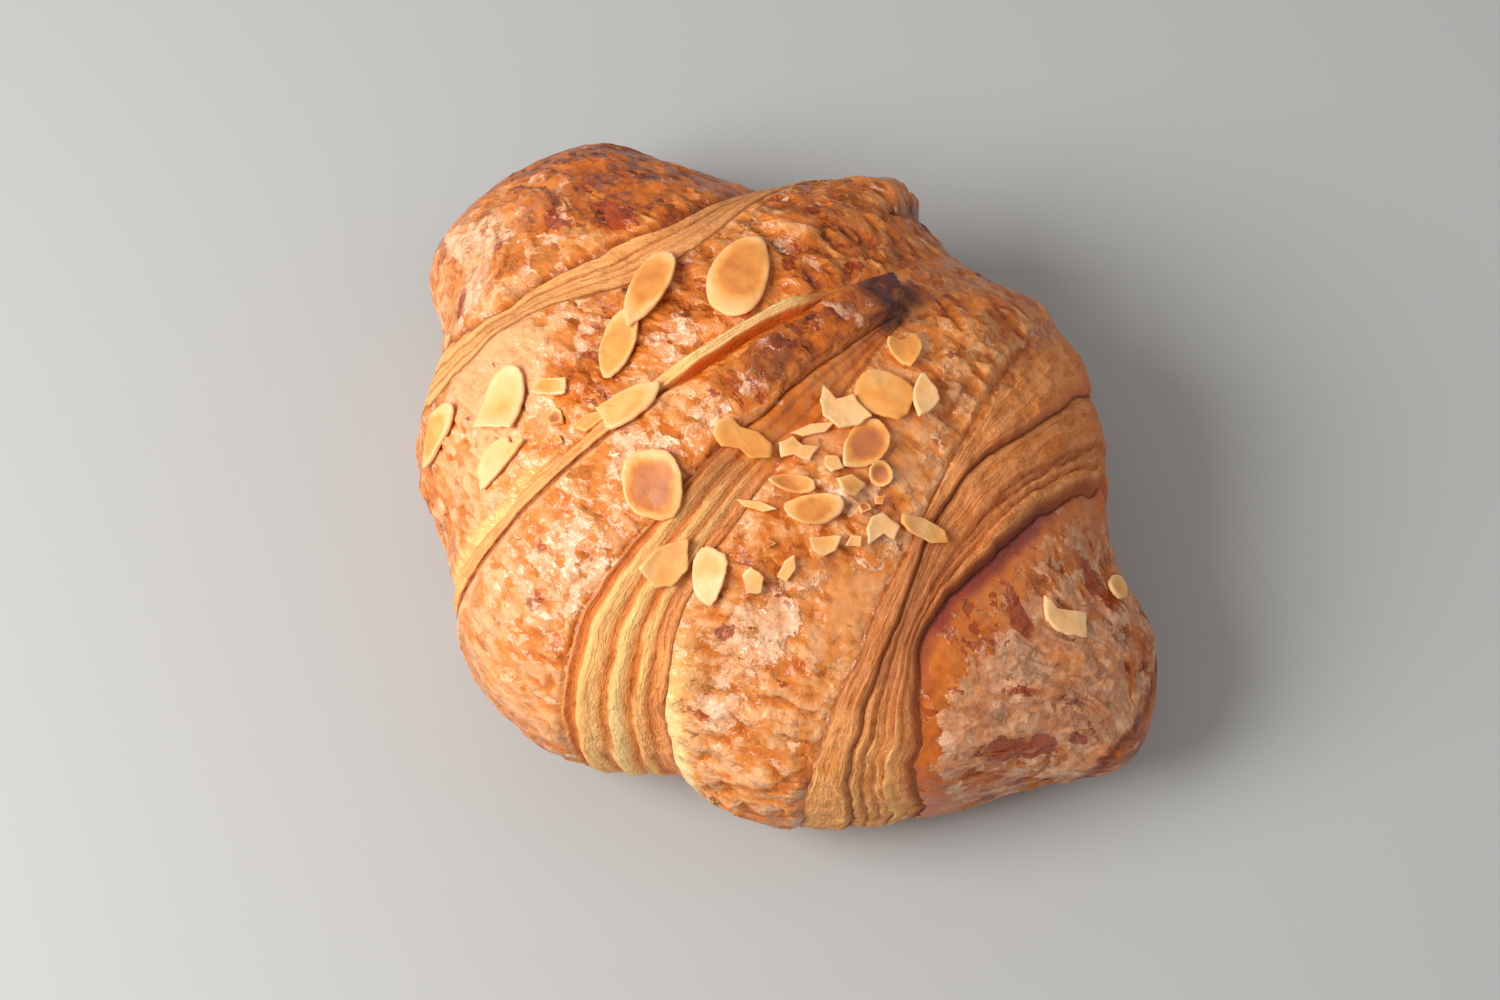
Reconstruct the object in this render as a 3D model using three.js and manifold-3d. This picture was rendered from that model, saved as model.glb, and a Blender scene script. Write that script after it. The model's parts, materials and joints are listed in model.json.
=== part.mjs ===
// Almond croissant: one baked pastry body lying on its flat underside, with toasted almond slices stuck to the top.
// Millimetres. X runs along the loaf, Y across it towards the back, Z up. The loaf rests on z = 0.
import * as THREE from "three";
import { mergeVertices } from "three/addons/utils/BufferGeometryUtils.js";
import Module from "manifold-3d";

// ---- driving dimensions of the loaf ----
const HALF_LENGTH = 79;
const SHIFT_Y = 0.9; // brings the middle of the bounding box to Y = 0
const STATIONS = [-79, -66, -52, -36, -18, 2, 22, 40, 56, 68, 79]; // places along X
const SPINE_Y = [7, 11.5, 3, 0, 0, -2, 3, 1.5, 0, 7, 6]; // sideways wander of the loaf's axis
const HALF_WIDTH = [46, 41, 46, 48, 56.5, 55, 54, 51, 40, 33.5, 29]; // before the ends round off
const HEIGHT_STATIONS = [-79, -38, 2, 42, 79];
const WAIST_HEIGHT = [17, 23, 26, 22.5, 18]; // height of the widest line above the table
const CROWN_HEIGHT = [30, 35, 36, 34, 28]; // from the widest line to the top
const ROUNDNESS_TOP = 2.25; // 2 is an ellipse, more is squarer
const ROUNDNESS_BELOW = 2.4;

// ---- edges of the rolled dough layers ----
// Each row gives the edge's X at the angles below: 0 is the back, 90 the top, 180 the front, 270 the underside.
const EDGE_ANGLES = [0, 30, 55, 80, 105, 130, 155, 180, 225, 270, 315];
const EDGES = [
  [-34, -33, -36, -43.5, -49.5, -55, -59, -60, -55, -46, -38], // crease of the left end lobe
  [-27, -27, -28.5, -31.5, -44.5, -49, -52.5, -53, -47, -38, -31], // left skin edge of the middle layer
  [4, 2, -2, -11.8, -19, -23, -26.5, -28, -27, -18, -4], // foot of the flap, left
  [6, 4, -0.5, -8.8, -15.5, -20.3, -23, -24, -23, -14, -1], // left skin edge of the flap
  [9, 8, 6.2, 2.2, -0.5, -1.5, 2.5, 6, 8, 6, 6], // right skin edge of the flap
  [12, 10, 7.2, 8.8, 9, 12, 18, 22, 22, 18, 14], // foot of the flap, right
  [24, 22.5, 24.5, 29, 34.5, 39, 42, 43, 40, 34, 28], // right skin edge of the middle layer
  [34, 34.5, 34, 32, 38, 43.5, 47.3, 49, 46, 40, 36], // start of the cut strip
  [48, 47, 45, 43, 43, 51, 55, 57, 54, 48, 46], // crease of the right end lobe
  [69, 71.5, 74.5, 75.5, 75.5, 75, 74.5, 73.5, 71.5, 69, 67], // cut end of the right lobe
];
const RINGS = [9, 9, 9, 5, 8, 8, 7, 4, 7, 8, 3]; // mesh rings between one edge and the next
const COLUMNS = 54;

// ---- steps and ridges of the layers ----
const CREASE_DEPTH = 2.8;
const DEEP_CREASE = 1.5;
const STEP_HEIGHT = 3.6;
const FLAP_LIFT = 1.7;
const FLAP_TIP_LIFT = 1.5;
const FAN_RIDGE = 1.1;
const FINE_RIDGE = 0.35;

// ---- almond slices ----
const SLICE_THICKNESS = 1.1;
const GAP = 0.3; // air between an almond and what it lies on
const SINK = 0.7; // how far the uncut slice reaches into the crust
// at: [X, angle round the loaf]; turn: degrees from +X; rounding: corner passes; rim: outline round the middle
const ALMONDS = [
  { name: "almond_slice_1", at: [-18.9, 74], turn: 114, rounding: 1, rim: [
    [8.4, -1.6], [6.2, 2.8], [2, 5.6], [-3, 5.9], [-6.6, 3.9], [-8.3, 0.4], [-7.4, -3.2], [-4, -5.1],
    [1, -5.5], [5, -4.8], [7.8, -3.2]
  ] },
  { name: "almond_slice_2", at: [-28, 84], turn: 102, rounding: 1, rim: [
    [8.2, 1.4], [7.4, -2.1], [4, -4.1], [0, -4.3], [-4, -3.1], [-8.3, 0.4], [-8.1, 0.9], [-5, 3.2],
    [-1, 4.3], [3, 4.4], [6.6, 3.7]
  ] },
  { name: "almond_slice_3", at: [-25.4, 98.1], turn: 119, rounding: 1, rim: [
    [5, -2.5], [5.3, 0.5], [3, 2.5], [-0.5, 2.9], [-3.2, 2], [-5.3, 0.1], [-3, -1.7], [1, -2.9]
  ] },
  { name: "almond_slice_4", at: [-45, 145], turn: 105, rounding: 1, rim: [
    [6.9, -2.4], [6.4, -0.4], [3, 2.4], [-1.5, 3], [-5, 2.1], [-6.9, 0.6], [-6.7, 0], [-4.5, -1.3],
    [-1, -2.3], [3, -3.1]
  ] },
  { name: "almond_slice_5", at: [-4.4, 110], turn: 129, rounding: 1, rim: [
    [6.2, -1.3], [3.2, -4.7], [-3.1, -5], [-6.2, -3.1], [-5.4, 2.6], [-2.6, 4.6], [3.1, 5.3],
    [5.5, 3.4]
  ] },
  { name: "almond_slice_6", at: [17, 85.5], turn: 85, rounding: 1, rim: [
    [4.6, 1.5], [3.9, -1.8], [1.6, -3.6], [-2.2, -3.5], [-5.6, -0.8], [-5.6, -0.2], [-3.7, 2.1],
    [0.2, 3.4], [2.9, 3.2]
  ] },
  { name: "almond_slice_7", at: [18.3, 101.6], turn: -130, rounding: 1, rim: [
    [5, -1.6], [3, -2.6], [-1, -2.7], [-4.3, -1.9], [-5.1, 0], [-3.4, 1.9], [0.2, 2.9], [3.6, 1.9],
    [5.1, 0]
  ] },
  { name: "almond_half_1", at: [-37.2, 121], turn: 120, rounding: 1, rim: [
    [5.9, -0.8], [4.8, 2.2], [1.5, 4.1], [-2.5, 4.6], [-5.6, 4.5], [-5.7, 4.3], [-5.4, -3.9],
    [-5.2, -4.1], [-2, -4.4], [2, -4], [4.9, -2.7]
  ] },
  { name: "almond_half_2", at: [-30.6, 130.6], turn: 104, rounding: 1, rim: [
    [5.5, -3.8], [5.3, -3.2], [3.4, -1.2], [4.7, 0.7], [1.5, 3.3], [-2.5, 3.4], [-5.8, 0.7],
    [-5.6, 0.1], [-2, -1.6], [2, -3.1]
  ] },
  { name: "almond_half_3", at: [13.5, 76.6], turn: -161, rounding: 1, rim: [
    [5.1, 0.6], [4.4, -2.6], [1.5, -4.3], [-2.6, -4.3], [-4.9, -3], [-5, 3.3], [-1, 4.1], [3.2, 3.6]
  ] },
  { name: "almond_half_4", at: [11, 120.2], turn: 114, rounding: 1, rim: [
    [4.7, 0.5], [3.9, 2.5], [0.5, 3], [-3.5, 1.6], [-4.9, -0.5], [-4.7, -2.3], [0, -2.9], [3.6, -2.7]
  ] },
  { name: "almond_half_5", at: [59.2, 74], turn: -133, rounding: 0, rim: [
    [5.4, -4], [2.6, -2], [-3.9, -1.8], [-3.8, 2.4], [0, 2.3], [1.8, 1.8], [4.2, 0]
  ] },
  { name: "almond_half_6", at: [60.3, 41.3], turn: 100, rounding: 1, rim: [
    [2.9, 0.4], [1.6, 2.1], [-1.5, 2.3], [-2.9, 0.6], [-2, -1.7], [1.6, -2]
  ] },
  { name: "almond_piece_1", at: [-31, 111.4], turn: -149, rounding: 0, rim: [
    [2.9, -1.6], [-2.7, -1.1], [-3.3, 1.5], [0, 1.9], [3.2, 1.5]
  ] },
  { name: "almond_piece_2", at: [-26.4, 115], turn: 156, rounding: 0, rim: [
    [1.7, -0.6], [0.4, -1.4], [-1.6, -0.9], [-1.2, 1.2], [0.9, 1.4]
  ] },
  { name: "almond_piece_3", at: [-16.2, 105.5], turn: -136, rounding: 1, rim: [
    [5.7, -2.8], [5.5, -2.2], [-1.8, -4.3], [-6.5, -3.5], [-6.4, -2.9], [-5.2, 0.6], [0, 3.6],
    [3.4, 3.5], [4.1, 0.5]
  ] },
  { name: "almond_piece_4", at: [-19.8, 111.4], turn: -122, rounding: 0, rim: [
    [3.2, -0.5], [0, -1.3], [-3, -0.9], [-2.7, 1.1], [1.2, 1.4]
  ] },
  { name: "almond_piece_5", at: [2.2, 95.5], turn: -168, rounding: 0, rim: [
    [5.4, -0.6], [3.6, -2.3], [1.4, -1.7], [-1.6, -2.6], [-4.4, -1.8], [-5.4, 0.4], [-2.4, 2.2],
    [-0.4, 1.6], [2.6, 2.7], [4.8, 1.6]
  ] },
  { name: "almond_piece_6", at: [10.8, 65.8], turn: 130, rounding: 1, rim: [
    [4, -1.7], [1.4, -3.4], [-1.8, -2.2], [-3.8, -0.4], [-0.2, 3.3], [2.2, 2.8], [1.3, 0.2]
  ] },
  { name: "almond_piece_7", at: [19.8, 73.3], turn: 117, rounding: 1, rim: [
    [3.8, 1.4], [1.3, -2.5], [-1.8, -1.7], [-3.8, 0.1], [-3.7, 0.5], [-0.4, 2.4], [3.2, 2.3]
  ] },
  { name: "almond_piece_8", at: [13.3, 83.1], turn: -162, rounding: 0, rim: [
    [4.6, -2.7], [2, -1.4], [-0.4, -3.4], [-4.6, -0.9], [-3, 1.4], [-0.4, 3.3], [2.8, 2.3], [4.2, 0]
  ] },
  { name: "almond_piece_9", at: [21.8, 89.5], turn: 140, rounding: 1, rim: [
    [2.4, -0.6], [0.6, -2.1], [-1.8, -1.6], [-2.4, 0.5], [-0.8, 2.1], [1.6, 1.7]
  ] },
  { name: "almond_piece_10", at: [9.4, 87.6], turn: -126, rounding: 0, rim: [
    [4, -0.2], [0.4, -1], [-3.8, -0.5], [-1.6, 0.9], [2, 0.8]
  ] },
  { name: "almond_piece_11", at: [9.6, 92.6], turn: -150, rounding: 0, rim: [
    [3.4, -0.4], [1.2, -2], [-0.6, -0.9], [-3.3, -1.3], [-2.2, 1.6], [0.6, 1.1], [2.6, 1.9]
  ] },
  { name: "almond_piece_12", at: [15.6, 92.4], turn: 180, rounding: 0, rim: [
    [1.8, -0.3], [0.2, -1.5], [-1.7, -0.5], [-0.8, 1.4], [1, 1.3]
  ] },
  { name: "almond_piece_13", at: [19.8, 94.8], turn: -147, rounding: 0, rim: [
    [2.6, -0.6], [0.2, -1.8], [-2.5, -0.7], [-1.2, 1.6], [1.4, 1.5]
  ] },
  { name: "almond_piece_14", at: [12.2, 98.6], turn: -153, rounding: 1, rim: [
    [4.2, 0.2], [1.2, -1.4], [-3.4, -1.3], [-4.2, 0.5], [-1, 1.6], [2.6, 1.4]
  ] },
  { name: "almond_piece_15", at: [10.6, 105], turn: -154, rounding: 0, rim: [
    [3.6, -0.3], [-0.4, -0.8], [-3.5, -0.2], [-1.4, 0.8], [1.8, 0.6]
  ] },
  { name: "almond_piece_16", at: [27.6, 97], turn: -154, rounding: 0, rim: [
    [0.2, -3], [-2.7, -1.4], [-2.5, 1.1], [-0.6, 0.5], [1.4, 3], [2.5, 0.3], [2.1, -1.4]
  ] },
  { name: "almond_piece_17", at: [32.4, 91], turn: -147, rounding: 1, rim: [
    [4.3, -0.8], [1, -1.7], [-3.4, -1.3], [-4.4, 0.4], [-2, 1.6], [2.4, 1.5], [4.1, 0.7]
  ] },
  { name: "almond_piece_18", at: [23.2, 106.6], turn: -141, rounding: 0, rim: [
    [2.7, -1.4], [-2.7, -1.6], [-1.8, 0.8], [0.3, 1.8], [2, 0.8]
  ] },
  { name: "almond_piece_19", at: [25.8, 102.3], turn: -126, rounding: 0, rim: [
    [1.6, 0], [0.2, -1.2], [-1.5, -0.5], [-0.6, 1.1]
  ] },
  { name: "almond_piece_20", at: [4.4, 121.5], turn: 61, rounding: 1, rim: [
    [5, 2.4], [4.9, 1.9], [2.9, -2], [-0.6, -3.5], [-3.1, -2.6], [-4.2, 1.1], [-4, 1.5], [0.1, 3.3]
  ] },
  { name: "almond_piece_21", at: [17.4, 117.5], turn: 136, rounding: 0, rim: [
    [2.6, -0.2], [0.4, -1.8], [-2.4, -1], [-1.7, 1.4], [1.2, 1.5]
  ] },
  { name: "almond_piece_22", at: [20.6, 112.8], turn: 100, rounding: 0, rim: [
    [2.5, 0.2], [0.6, -1.1], [-2.2, -0.8], [-2, 0.9], [0.9, 1.2]
  ] },
  { name: "almond_crumb_1", at: [23.4, 96.4], turn: 20, rounding: 0, rim: [
    [1.2, 0], [0, -1], [-1.1, -0.3], [-0.5, 0.9], [0.7, 0.8]
  ] },
  { name: "almond_crumb_2", at: [24.6, 93.2], turn: 70, rounding: 0, rim: [
    [1.1, 0.2], [0.1, -0.9], [-1, -0.4], [-0.6, 0.8]
  ] },
  { name: "almond_crumb_3", at: [15.8, 110.2], turn: 40, rounding: 0, rim: [
    [1.2, -0.1], [0, -0.9], [-1.1, -0.2], [-0.2, 0.9]
  ] },
  { name: "almond_crumb_4", at: [-23.2, 117.4], turn: 10, rounding: 0, rim: [
    [1.1, 0], [0.1, -0.8], [-1, -0.3], [-0.4, 0.8]
  ] },
];

// ---- small helpers ----
const radians = (degrees) => (degrees * Math.PI) / 180;

function smooth(from, to, value) {
  const t = Math.min(1, Math.max(0, (value - from) / (to - from)));
  return t * t * (3 - 2 * t);
}

function curve(at, places, values) {
  const last = places.length - 1;
  let i = 0;
  while (i < last - 1 && at >= places[i + 1]) i += 1;
  const slope = (k) => {
    const a = Math.max(0, k - 1);
    const b = Math.min(last, k + 1);
    return (values[b] - values[a]) / (places[b] - places[a]);
  };
  const step = places[i + 1] - places[i];
  const u = (at - places[i]) / step;
  const start = (2 * u ** 3 - 3 * u * u + 1) * values[i] + (u ** 3 - 2 * u * u + u) * step * slope(i);
  const end = (3 * u * u - 2 * u ** 3) * values[i + 1] + (u ** 3 - u * u) * step * slope(i + 1);
  return start + end;
}

function wrapped(angle) {
  return ((angle % 360) + 360) % 360;
}

// X of each edge at one angle round the loaf, from one tip to the other.
function edgesAt(angle) {
  const places = [-90, -45, ...EDGE_ANGLES, 360, 390];
  const inner = EDGES.map((row) => curve(wrapped(angle), places, [...row.slice(-2), ...row, ...row.slice(0, 2)]));
  return [-HALF_LENGTH, ...inner, HALF_LENGTH];
}

function ridges(u, count, height) {
  return height * (Math.abs(Math.sin(Math.PI * count * u)) ** 0.75 - 0.5);
}

// How far the crust stands out from the plain loaf shape.
function relief(x, angleIn) {
  const angle = wrapped(angleIn);
  const turned = angle > 300 ? angle - 360 : angle;
  const edges = edgesAt(angle);
  let band = 0;
  while (band < 10 && x > edges[band + 1]) band += 1;
  const width = Math.max(edges[band + 1] - edges[band], 0.001);
  const left = Math.max(0, x - edges[band]);
  const right = Math.max(0, edges[band + 1] - x);
  const u = Math.min(1, left / width);
  const side = smooth(248, 222, turned) * smooth(-52, -25, turned); // steps fade out underneath
  const tipAngle = 53.2 + 0.75 * Math.min(8, Math.max(-1, x)); // the flap's blunt end is slanted
  const flap = smooth(tipAngle, tipAngle + 2.5, turned) * smooth(238, 205, turned);
  const near = smooth(125, 70, turned) * flap; // stronger near the tip
  const lift = FLAP_LIFT + FLAP_TIP_LIFT * near;
  const deep = DEEP_CREASE + 0.4 * smooth(90, 50, turned);
  const corner = 2.4 * smooth(-26, -14, x) * smooth(-9.5, -12.5, x);
  const peel = corner * smooth(2, 14, turned) * smooth(44, 30, turned); // curled corner of skin at the back
  const plain = side * 0.5 + peel; // where the flap isn't there, the middle layer runs through
  if (band === 0) return side * (0.6 * Math.sin(Math.PI * u) - CREASE_DEPTH * Math.exp(-right / 2.2));
  if (band === 1) return side * (-2.2 + STEP_HEIGHT * u ** 0.8 + ridges(u, 3, 0.9) * smooth(0, 0.12, u));
  if (band === 2) {
    const top = side * (1.2 - 0.5 * Math.exp(-left / 0.5) - 0.7 * smooth(0.1, 0.8, u));
    return top + peel - flap * 2 * Math.exp(-right / 2);
  }
  if (band === 3) {
    const rise = -1.5 + (3.2 + 1.6 * near) * smooth(0, 0.75, u) + ridges(u, 2, 0.5) * (1 - smooth(0.8, 1, u));
    return flap * (rise - (1 + 1.3 * near) * Math.exp(-((right / 0.5) ** 2))) + (1 - flap) * plain;
  }
  if (band === 4) {
    const dip = (1 + 1.3 * near) * Math.exp(-((left / (0.6 + 0.9 * near)) ** 2));
    const skin = lift + 0.6 * (1 - (2 * u - 1) ** 4) - dip - 0.9 * Math.exp(-((right / 0.7) ** 2));
    return flap * skin + (1 - flap) * plain;
  }
  if (band === 5) {
    const fall = lift - 0.4 - (lift + 1.6) * smooth(0, 1, u ** 1.15);
    return flap * (fall + ridges(u, 4, FAN_RIDGE) * smooth(4, 9, width)) + (1 - flap) * plain;
  }
  if (band === 6) {
    const top = 1 - 0.8 * Math.exp(-((right / 0.6) ** 2)) - 0.5 * smooth(0.5, 0, u);
    return side * top - flap * 2.2 * Math.exp(-left / 2.2);
  }
  if (band === 7) return side * (0.8 - 1.7 * u + ridges(u, 1, 1.2));
  if (band === 8) {
    const swell = 1.5 * Math.sin(Math.PI * u ** 0.8) + ridges(u, 3, FINE_RIDGE);
    return side * (-0.7 - Math.exp(-left / 0.8) + swell - deep * Math.exp(-right / 2.6));
  }
  if (band === 9) return side * (0.6 * Math.sin(Math.PI * u) - (deep + 0.4) * Math.exp(-left / 3));
  return side * (ridges(u, 2, 0.5) - 0.2);
}

// A point of the crust; extra moves it outwards.
function crust(x, angle, extra = 0) {
  const q = x / HALF_LENGTH;
  const round = Math.sqrt(Math.max(0, 1 - q * q)); // both ends close to a point
  const c = Math.cos(radians(angle));
  const s = Math.sin(radians(angle));
  const power = s > 0 ? ROUNDNESS_TOP : ROUNDNESS_BELOW;
  const reach = (Math.abs(c) ** power + Math.abs(s) ** power) ** (-1 / power);
  const waist = curve(x, HEIGHT_STATIONS, WAIST_HEIGHT);
  const below = Math.min((1.22 * waist) / Math.max(round, 0.35), 1.6 * waist);
  const height = s > 0 ? curve(x, HEIGHT_STATIONS, CROWN_HEIGHT) : below;
  const y = curve(x, STATIONS, HALF_WIDTH) * round * reach * c;
  const z = height * round * reach * s;
  const radius = Math.hypot(y, z) + 0.000001;
  const grow = 1 + ((relief(x, angle) + extra) / Math.max(radius, 1)) * Math.min(1, radius / 8);
  return new THREE.Vector3(x, SHIFT_Y + curve(x, STATIONS, SPINE_Y) + y * grow, Math.max(0, waist + z * grow));
}

// Outward direction of the crust.
function outward(x, angle) {
  const along = crust(x + 2.5, angle).sub(crust(x - 2.5, angle));
  const up = crust(x, angle + 3).sub(crust(x, angle - 3));
  return along.cross(up).negate().normalize();
}

// ---- the pastry body: a sphere whose rings are laid along the dough edges ----
function columnAngles() {
  const weight = (a) => {
    const t = a > 300 ? a - 360 : a;
    return 0.6 + smooth(-50, -20, t) * smooth(245, 215, t); // more columns over the top than underneath
  };
  const total = [0];
  for (let a = 1; a <= 360; a += 1) total.push(total[a - 1] + weight(a));
  const angles = [];
  for (let i = 0; i < COLUMNS; i += 1) {
    const want = (total[360] * i) / COLUMNS;
    let a = 0;
    while (total[a + 1] < want) a += 1;
    angles.push(a + (want - total[a]) / (total[a + 1] - total[a]));
  }
  return angles;
}

function ringPlaces() {
  const places = [[0, 0]];
  RINGS.forEach((count, band) => {
    for (let i = 1; i <= count; i += 1) {
      const t = i / count;
      let part = 0.4 * t + 0.6 * (0.5 - 0.5 * Math.cos(Math.PI * t));
      if (band === 0) part = 0.65 * (1 - Math.cos((Math.PI / 2) * t)) + 0.35 * t;
      if (band === RINGS.length - 1) part = Math.sin((Math.PI / 2) * t);
      places.push([band, part]);
    }
  });
  return places;
}

function bodyGeometry() {
  const angles = columnAngles();
  const rings = ringPlaces();
  const rows = rings.length - 1;
  const geometry = new THREE.SphereGeometry(1, COLUMNS, rows);
  const position = geometry.attributes.position;
  for (let row = 0; row <= rows; row += 1) {
    const [band, part] = rings[rows - row];
    for (let column = 0; column <= COLUMNS; column += 1) {
      const angle = angles[column % COLUMNS];
      const edges = edgesAt(angle);
      const x = edges[band] + part * (edges[band + 1] - edges[band]);
      const point = crust(x, angle);
      position.setXYZ(row * (COLUMNS + 1) + column, point.x, point.y, point.z);
    }
  }
  geometry.deleteAttribute("normal");
  geometry.deleteAttribute("uv");
  return mergeVertices(geometry, 0.0001);
}

function grown(geometry, distance) {
  const copy = geometry.clone();
  copy.computeVertexNormals();
  const position = copy.attributes.position;
  const normal = copy.attributes.normal;
  for (let i = 0; i < position.count; i += 1) {
    position.setX(i, position.getX(i) + distance * normal.getX(i));
    position.setY(i, position.getY(i) + distance * normal.getY(i));
    position.setZ(i, position.getZ(i) + distance * normal.getZ(i));
  }
  return copy;
}

// ---- almond slices ----
function outline(almond) {
  let points = almond.rim.map(([a, b]) => new THREE.Vector2(a, b));
  for (let pass = 0; pass < almond.rounding; pass += 1) {
    points = points.flatMap((p, i) => {
      const q = points[(i + 1) % points.length];
      return [p.clone().lerp(q, 0.25), p.clone().lerp(q, 0.75)];
    });
  }
  return THREE.ShapeUtils.area(points) < 0 ? points.reverse() : points;
}

function almondGeometry(almond, spare) {
  const [x, angle] = almond.at;
  const normal = outward(x, angle);
  const alongX = crust(x + 2.5, angle).sub(crust(x - 2.5, angle)).normalize();
  const side = normal.clone().cross(alongX).normalize();
  const tangentX = side.clone().cross(normal);
  const turn = radians(almond.turn);
  const reach = Math.max(...almond.rim.map(([a, b]) => Math.hypot(a, b)));
  const scale = 1 + spare / (0.6 * reach);
  const rim = outline(almond).map((p) => p.multiplyScalar(scale));
  const inner = rim.map((p) => p.clone().multiplyScalar(0.5));
  const perDegree = crust(x, angle + 0.5).distanceTo(crust(x, angle - 0.5));
  const place = (p, height) => {
    const a = p.x * Math.cos(turn) - p.y * Math.sin(turn);
    const b = p.x * Math.sin(turn) + p.y * Math.cos(turn);
    const foot = crust(x + a * Math.max(0.5, tangentX.x), angle - b / perDegree);
    const flat = crust(x, angle).addScaledVector(tangentX, a).addScaledVector(side, b);
    const drop = foot.clone().sub(flat).dot(normal);
    return flat.addScaledVector(normal, Math.min(0.6, drop) + height);
  };
  const count = rim.length;
  const points = [];
  const top = GAP + SLICE_THICKNESS + spare;
  for (const height of [-SINK - spare, top]) {
    points.push(place(new THREE.Vector2(0, 0), height));
    inner.forEach((p) => points.push(place(p, height)));
    rim.forEach((p) => points.push(place(p, height)));
  }
  const layer = 1 + 2 * count;
  const faces = [];
  for (let i = 0; i < count; i += 1) {
    const j = (i + 1) % count;
    faces.push([0, 1 + j, 1 + i], [1 + i, 1 + j, 1 + count + j], [1 + i, 1 + count + j, 1 + count + i]);
    faces.push([layer, layer + 1 + i, layer + 1 + j]);
    faces.push([layer + 1 + i, layer + 1 + count + j, layer + 1 + j]);
    faces.push([layer + 1 + i, layer + 1 + count + i, layer + 1 + count + j]);
    faces.push([1 + count + i, 1 + count + j, layer + 1 + count + j]);
    faces.push([1 + count + i, layer + 1 + count + j, layer + 1 + count + i]);
  }
  const geometry = new THREE.BufferGeometry().setFromPoints(points);
  geometry.setIndex(faces.flat());
  return geometry;
}

// ---- solids ----
const wasm = await Module();
wasm.setup();

function toSolid(geometry) {
  const vertProperties = new Float32Array(geometry.attributes.position.array);
  const triVerts = new Uint32Array(geometry.index.array);
  return new wasm.Manifold(new wasm.Mesh({ numProp: 3, vertProperties, triVerts }));
}

function toGeometry(solid) {
  const mesh = solid.getMesh();
  const geometry = new THREE.BufferGeometry();
  geometry.setAttribute("position", new THREE.BufferAttribute(new Float32Array(mesh.vertProperties), 3));
  geometry.setIndex(new THREE.BufferAttribute(new Uint32Array(mesh.triVerts), 1));
  return geometry;
}

function material(color, roughness) {
  return new THREE.MeshStandardMaterial({ color, roughness, metalness: 0 });
}

const croissant = new THREE.Group();
croissant.name = "croissant";

const loaf = bodyGeometry();
const pastry = new THREE.Mesh(loaf, material(0xd18a48, 0.35));
pastry.name = "pastry_body";
croissant.add(pastry);

const blockers = [toSolid(grown(loaf, GAP))];
ALMONDS.forEach((almond) => {
  let solid = toSolid(almondGeometry(almond, 0));
  for (const blocker of blockers) solid = solid.subtract(blocker);
  const largest = solid.decompose().sort((a, b) => b.volume() - a.volume())[0];
  const slice = new THREE.Mesh(toGeometry(largest), material(0xe9c27c, 0.5));
  slice.name = almond.name;
  croissant.add(slice);
  blockers.push(toSolid(almondGeometry(almond, GAP)));
});

export default croissant;
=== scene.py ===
import json
import math
from functools import partial
import bmesh
import bpy
import numpy as np
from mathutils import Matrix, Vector
from mathutils.bvhtree import BVHTree

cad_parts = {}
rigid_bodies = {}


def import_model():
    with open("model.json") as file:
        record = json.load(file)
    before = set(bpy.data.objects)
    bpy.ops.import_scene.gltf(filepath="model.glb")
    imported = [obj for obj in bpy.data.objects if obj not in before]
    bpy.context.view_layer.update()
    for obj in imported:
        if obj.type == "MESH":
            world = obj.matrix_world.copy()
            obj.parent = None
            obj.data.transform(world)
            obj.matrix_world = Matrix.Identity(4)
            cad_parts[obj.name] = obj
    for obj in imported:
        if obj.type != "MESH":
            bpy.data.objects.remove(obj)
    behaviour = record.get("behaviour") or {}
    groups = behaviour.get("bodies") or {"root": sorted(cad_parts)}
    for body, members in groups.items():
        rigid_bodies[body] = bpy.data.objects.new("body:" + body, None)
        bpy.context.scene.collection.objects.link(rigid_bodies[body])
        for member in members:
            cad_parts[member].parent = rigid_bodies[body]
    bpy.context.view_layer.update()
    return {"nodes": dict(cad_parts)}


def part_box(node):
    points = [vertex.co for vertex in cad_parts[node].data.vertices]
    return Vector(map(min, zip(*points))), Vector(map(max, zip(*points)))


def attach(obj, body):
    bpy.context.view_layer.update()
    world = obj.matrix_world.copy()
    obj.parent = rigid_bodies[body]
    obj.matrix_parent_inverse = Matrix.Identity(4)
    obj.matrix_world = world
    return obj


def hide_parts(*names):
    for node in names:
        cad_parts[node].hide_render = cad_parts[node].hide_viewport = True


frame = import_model()
print("frame loaded:", len(frame["nodes"]), "nodes")

mm = 0.001

# the plain loaf shape, in millimetres
loaf = {
    "halfLength": 79.0,
    "shiftY": 0.9,
    "stations": [-79, -66, -52, -36, -18, 2, 22, 40, 56, 68, 79],
    "spineY": [7, 11.5, 3, 0, 0, -2, 3, 1.5, 0, 7, 6],
    "halfWidth": [46, 41, 46, 48, 56.5, 55, 54, 51, 40, 33.5, 29],
    "heightStations": [-79, -38, 2, 42, 79],
    "waist": [17, 23, 26, 22.5, 18],
    "crown": [30, 35, 36, 34, 28],
    "roundTop": 2.25,
    "roundBelow": 2.4,
    "columns": 416,
    "ringsPerBand": [29, 22, 28, 15, 24, 26, 23, 18, 28, 20, 6],
    "bandWidths": [40, 10, 28, 3.5, 18, 12, 24, 6, 10, 26, 3.0],
}
arcScale = 48  # mm per radian round the loaf, used to place marks

# the bands between the dough edges, from the left end to the right
leftLobe, leftLayers, middleLeft, flapFoot, flapTop, fan = range(6)
middleRight, ridgeLayers, cutStrip, rightLobe, rightEnd = range(6, 11)

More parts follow.
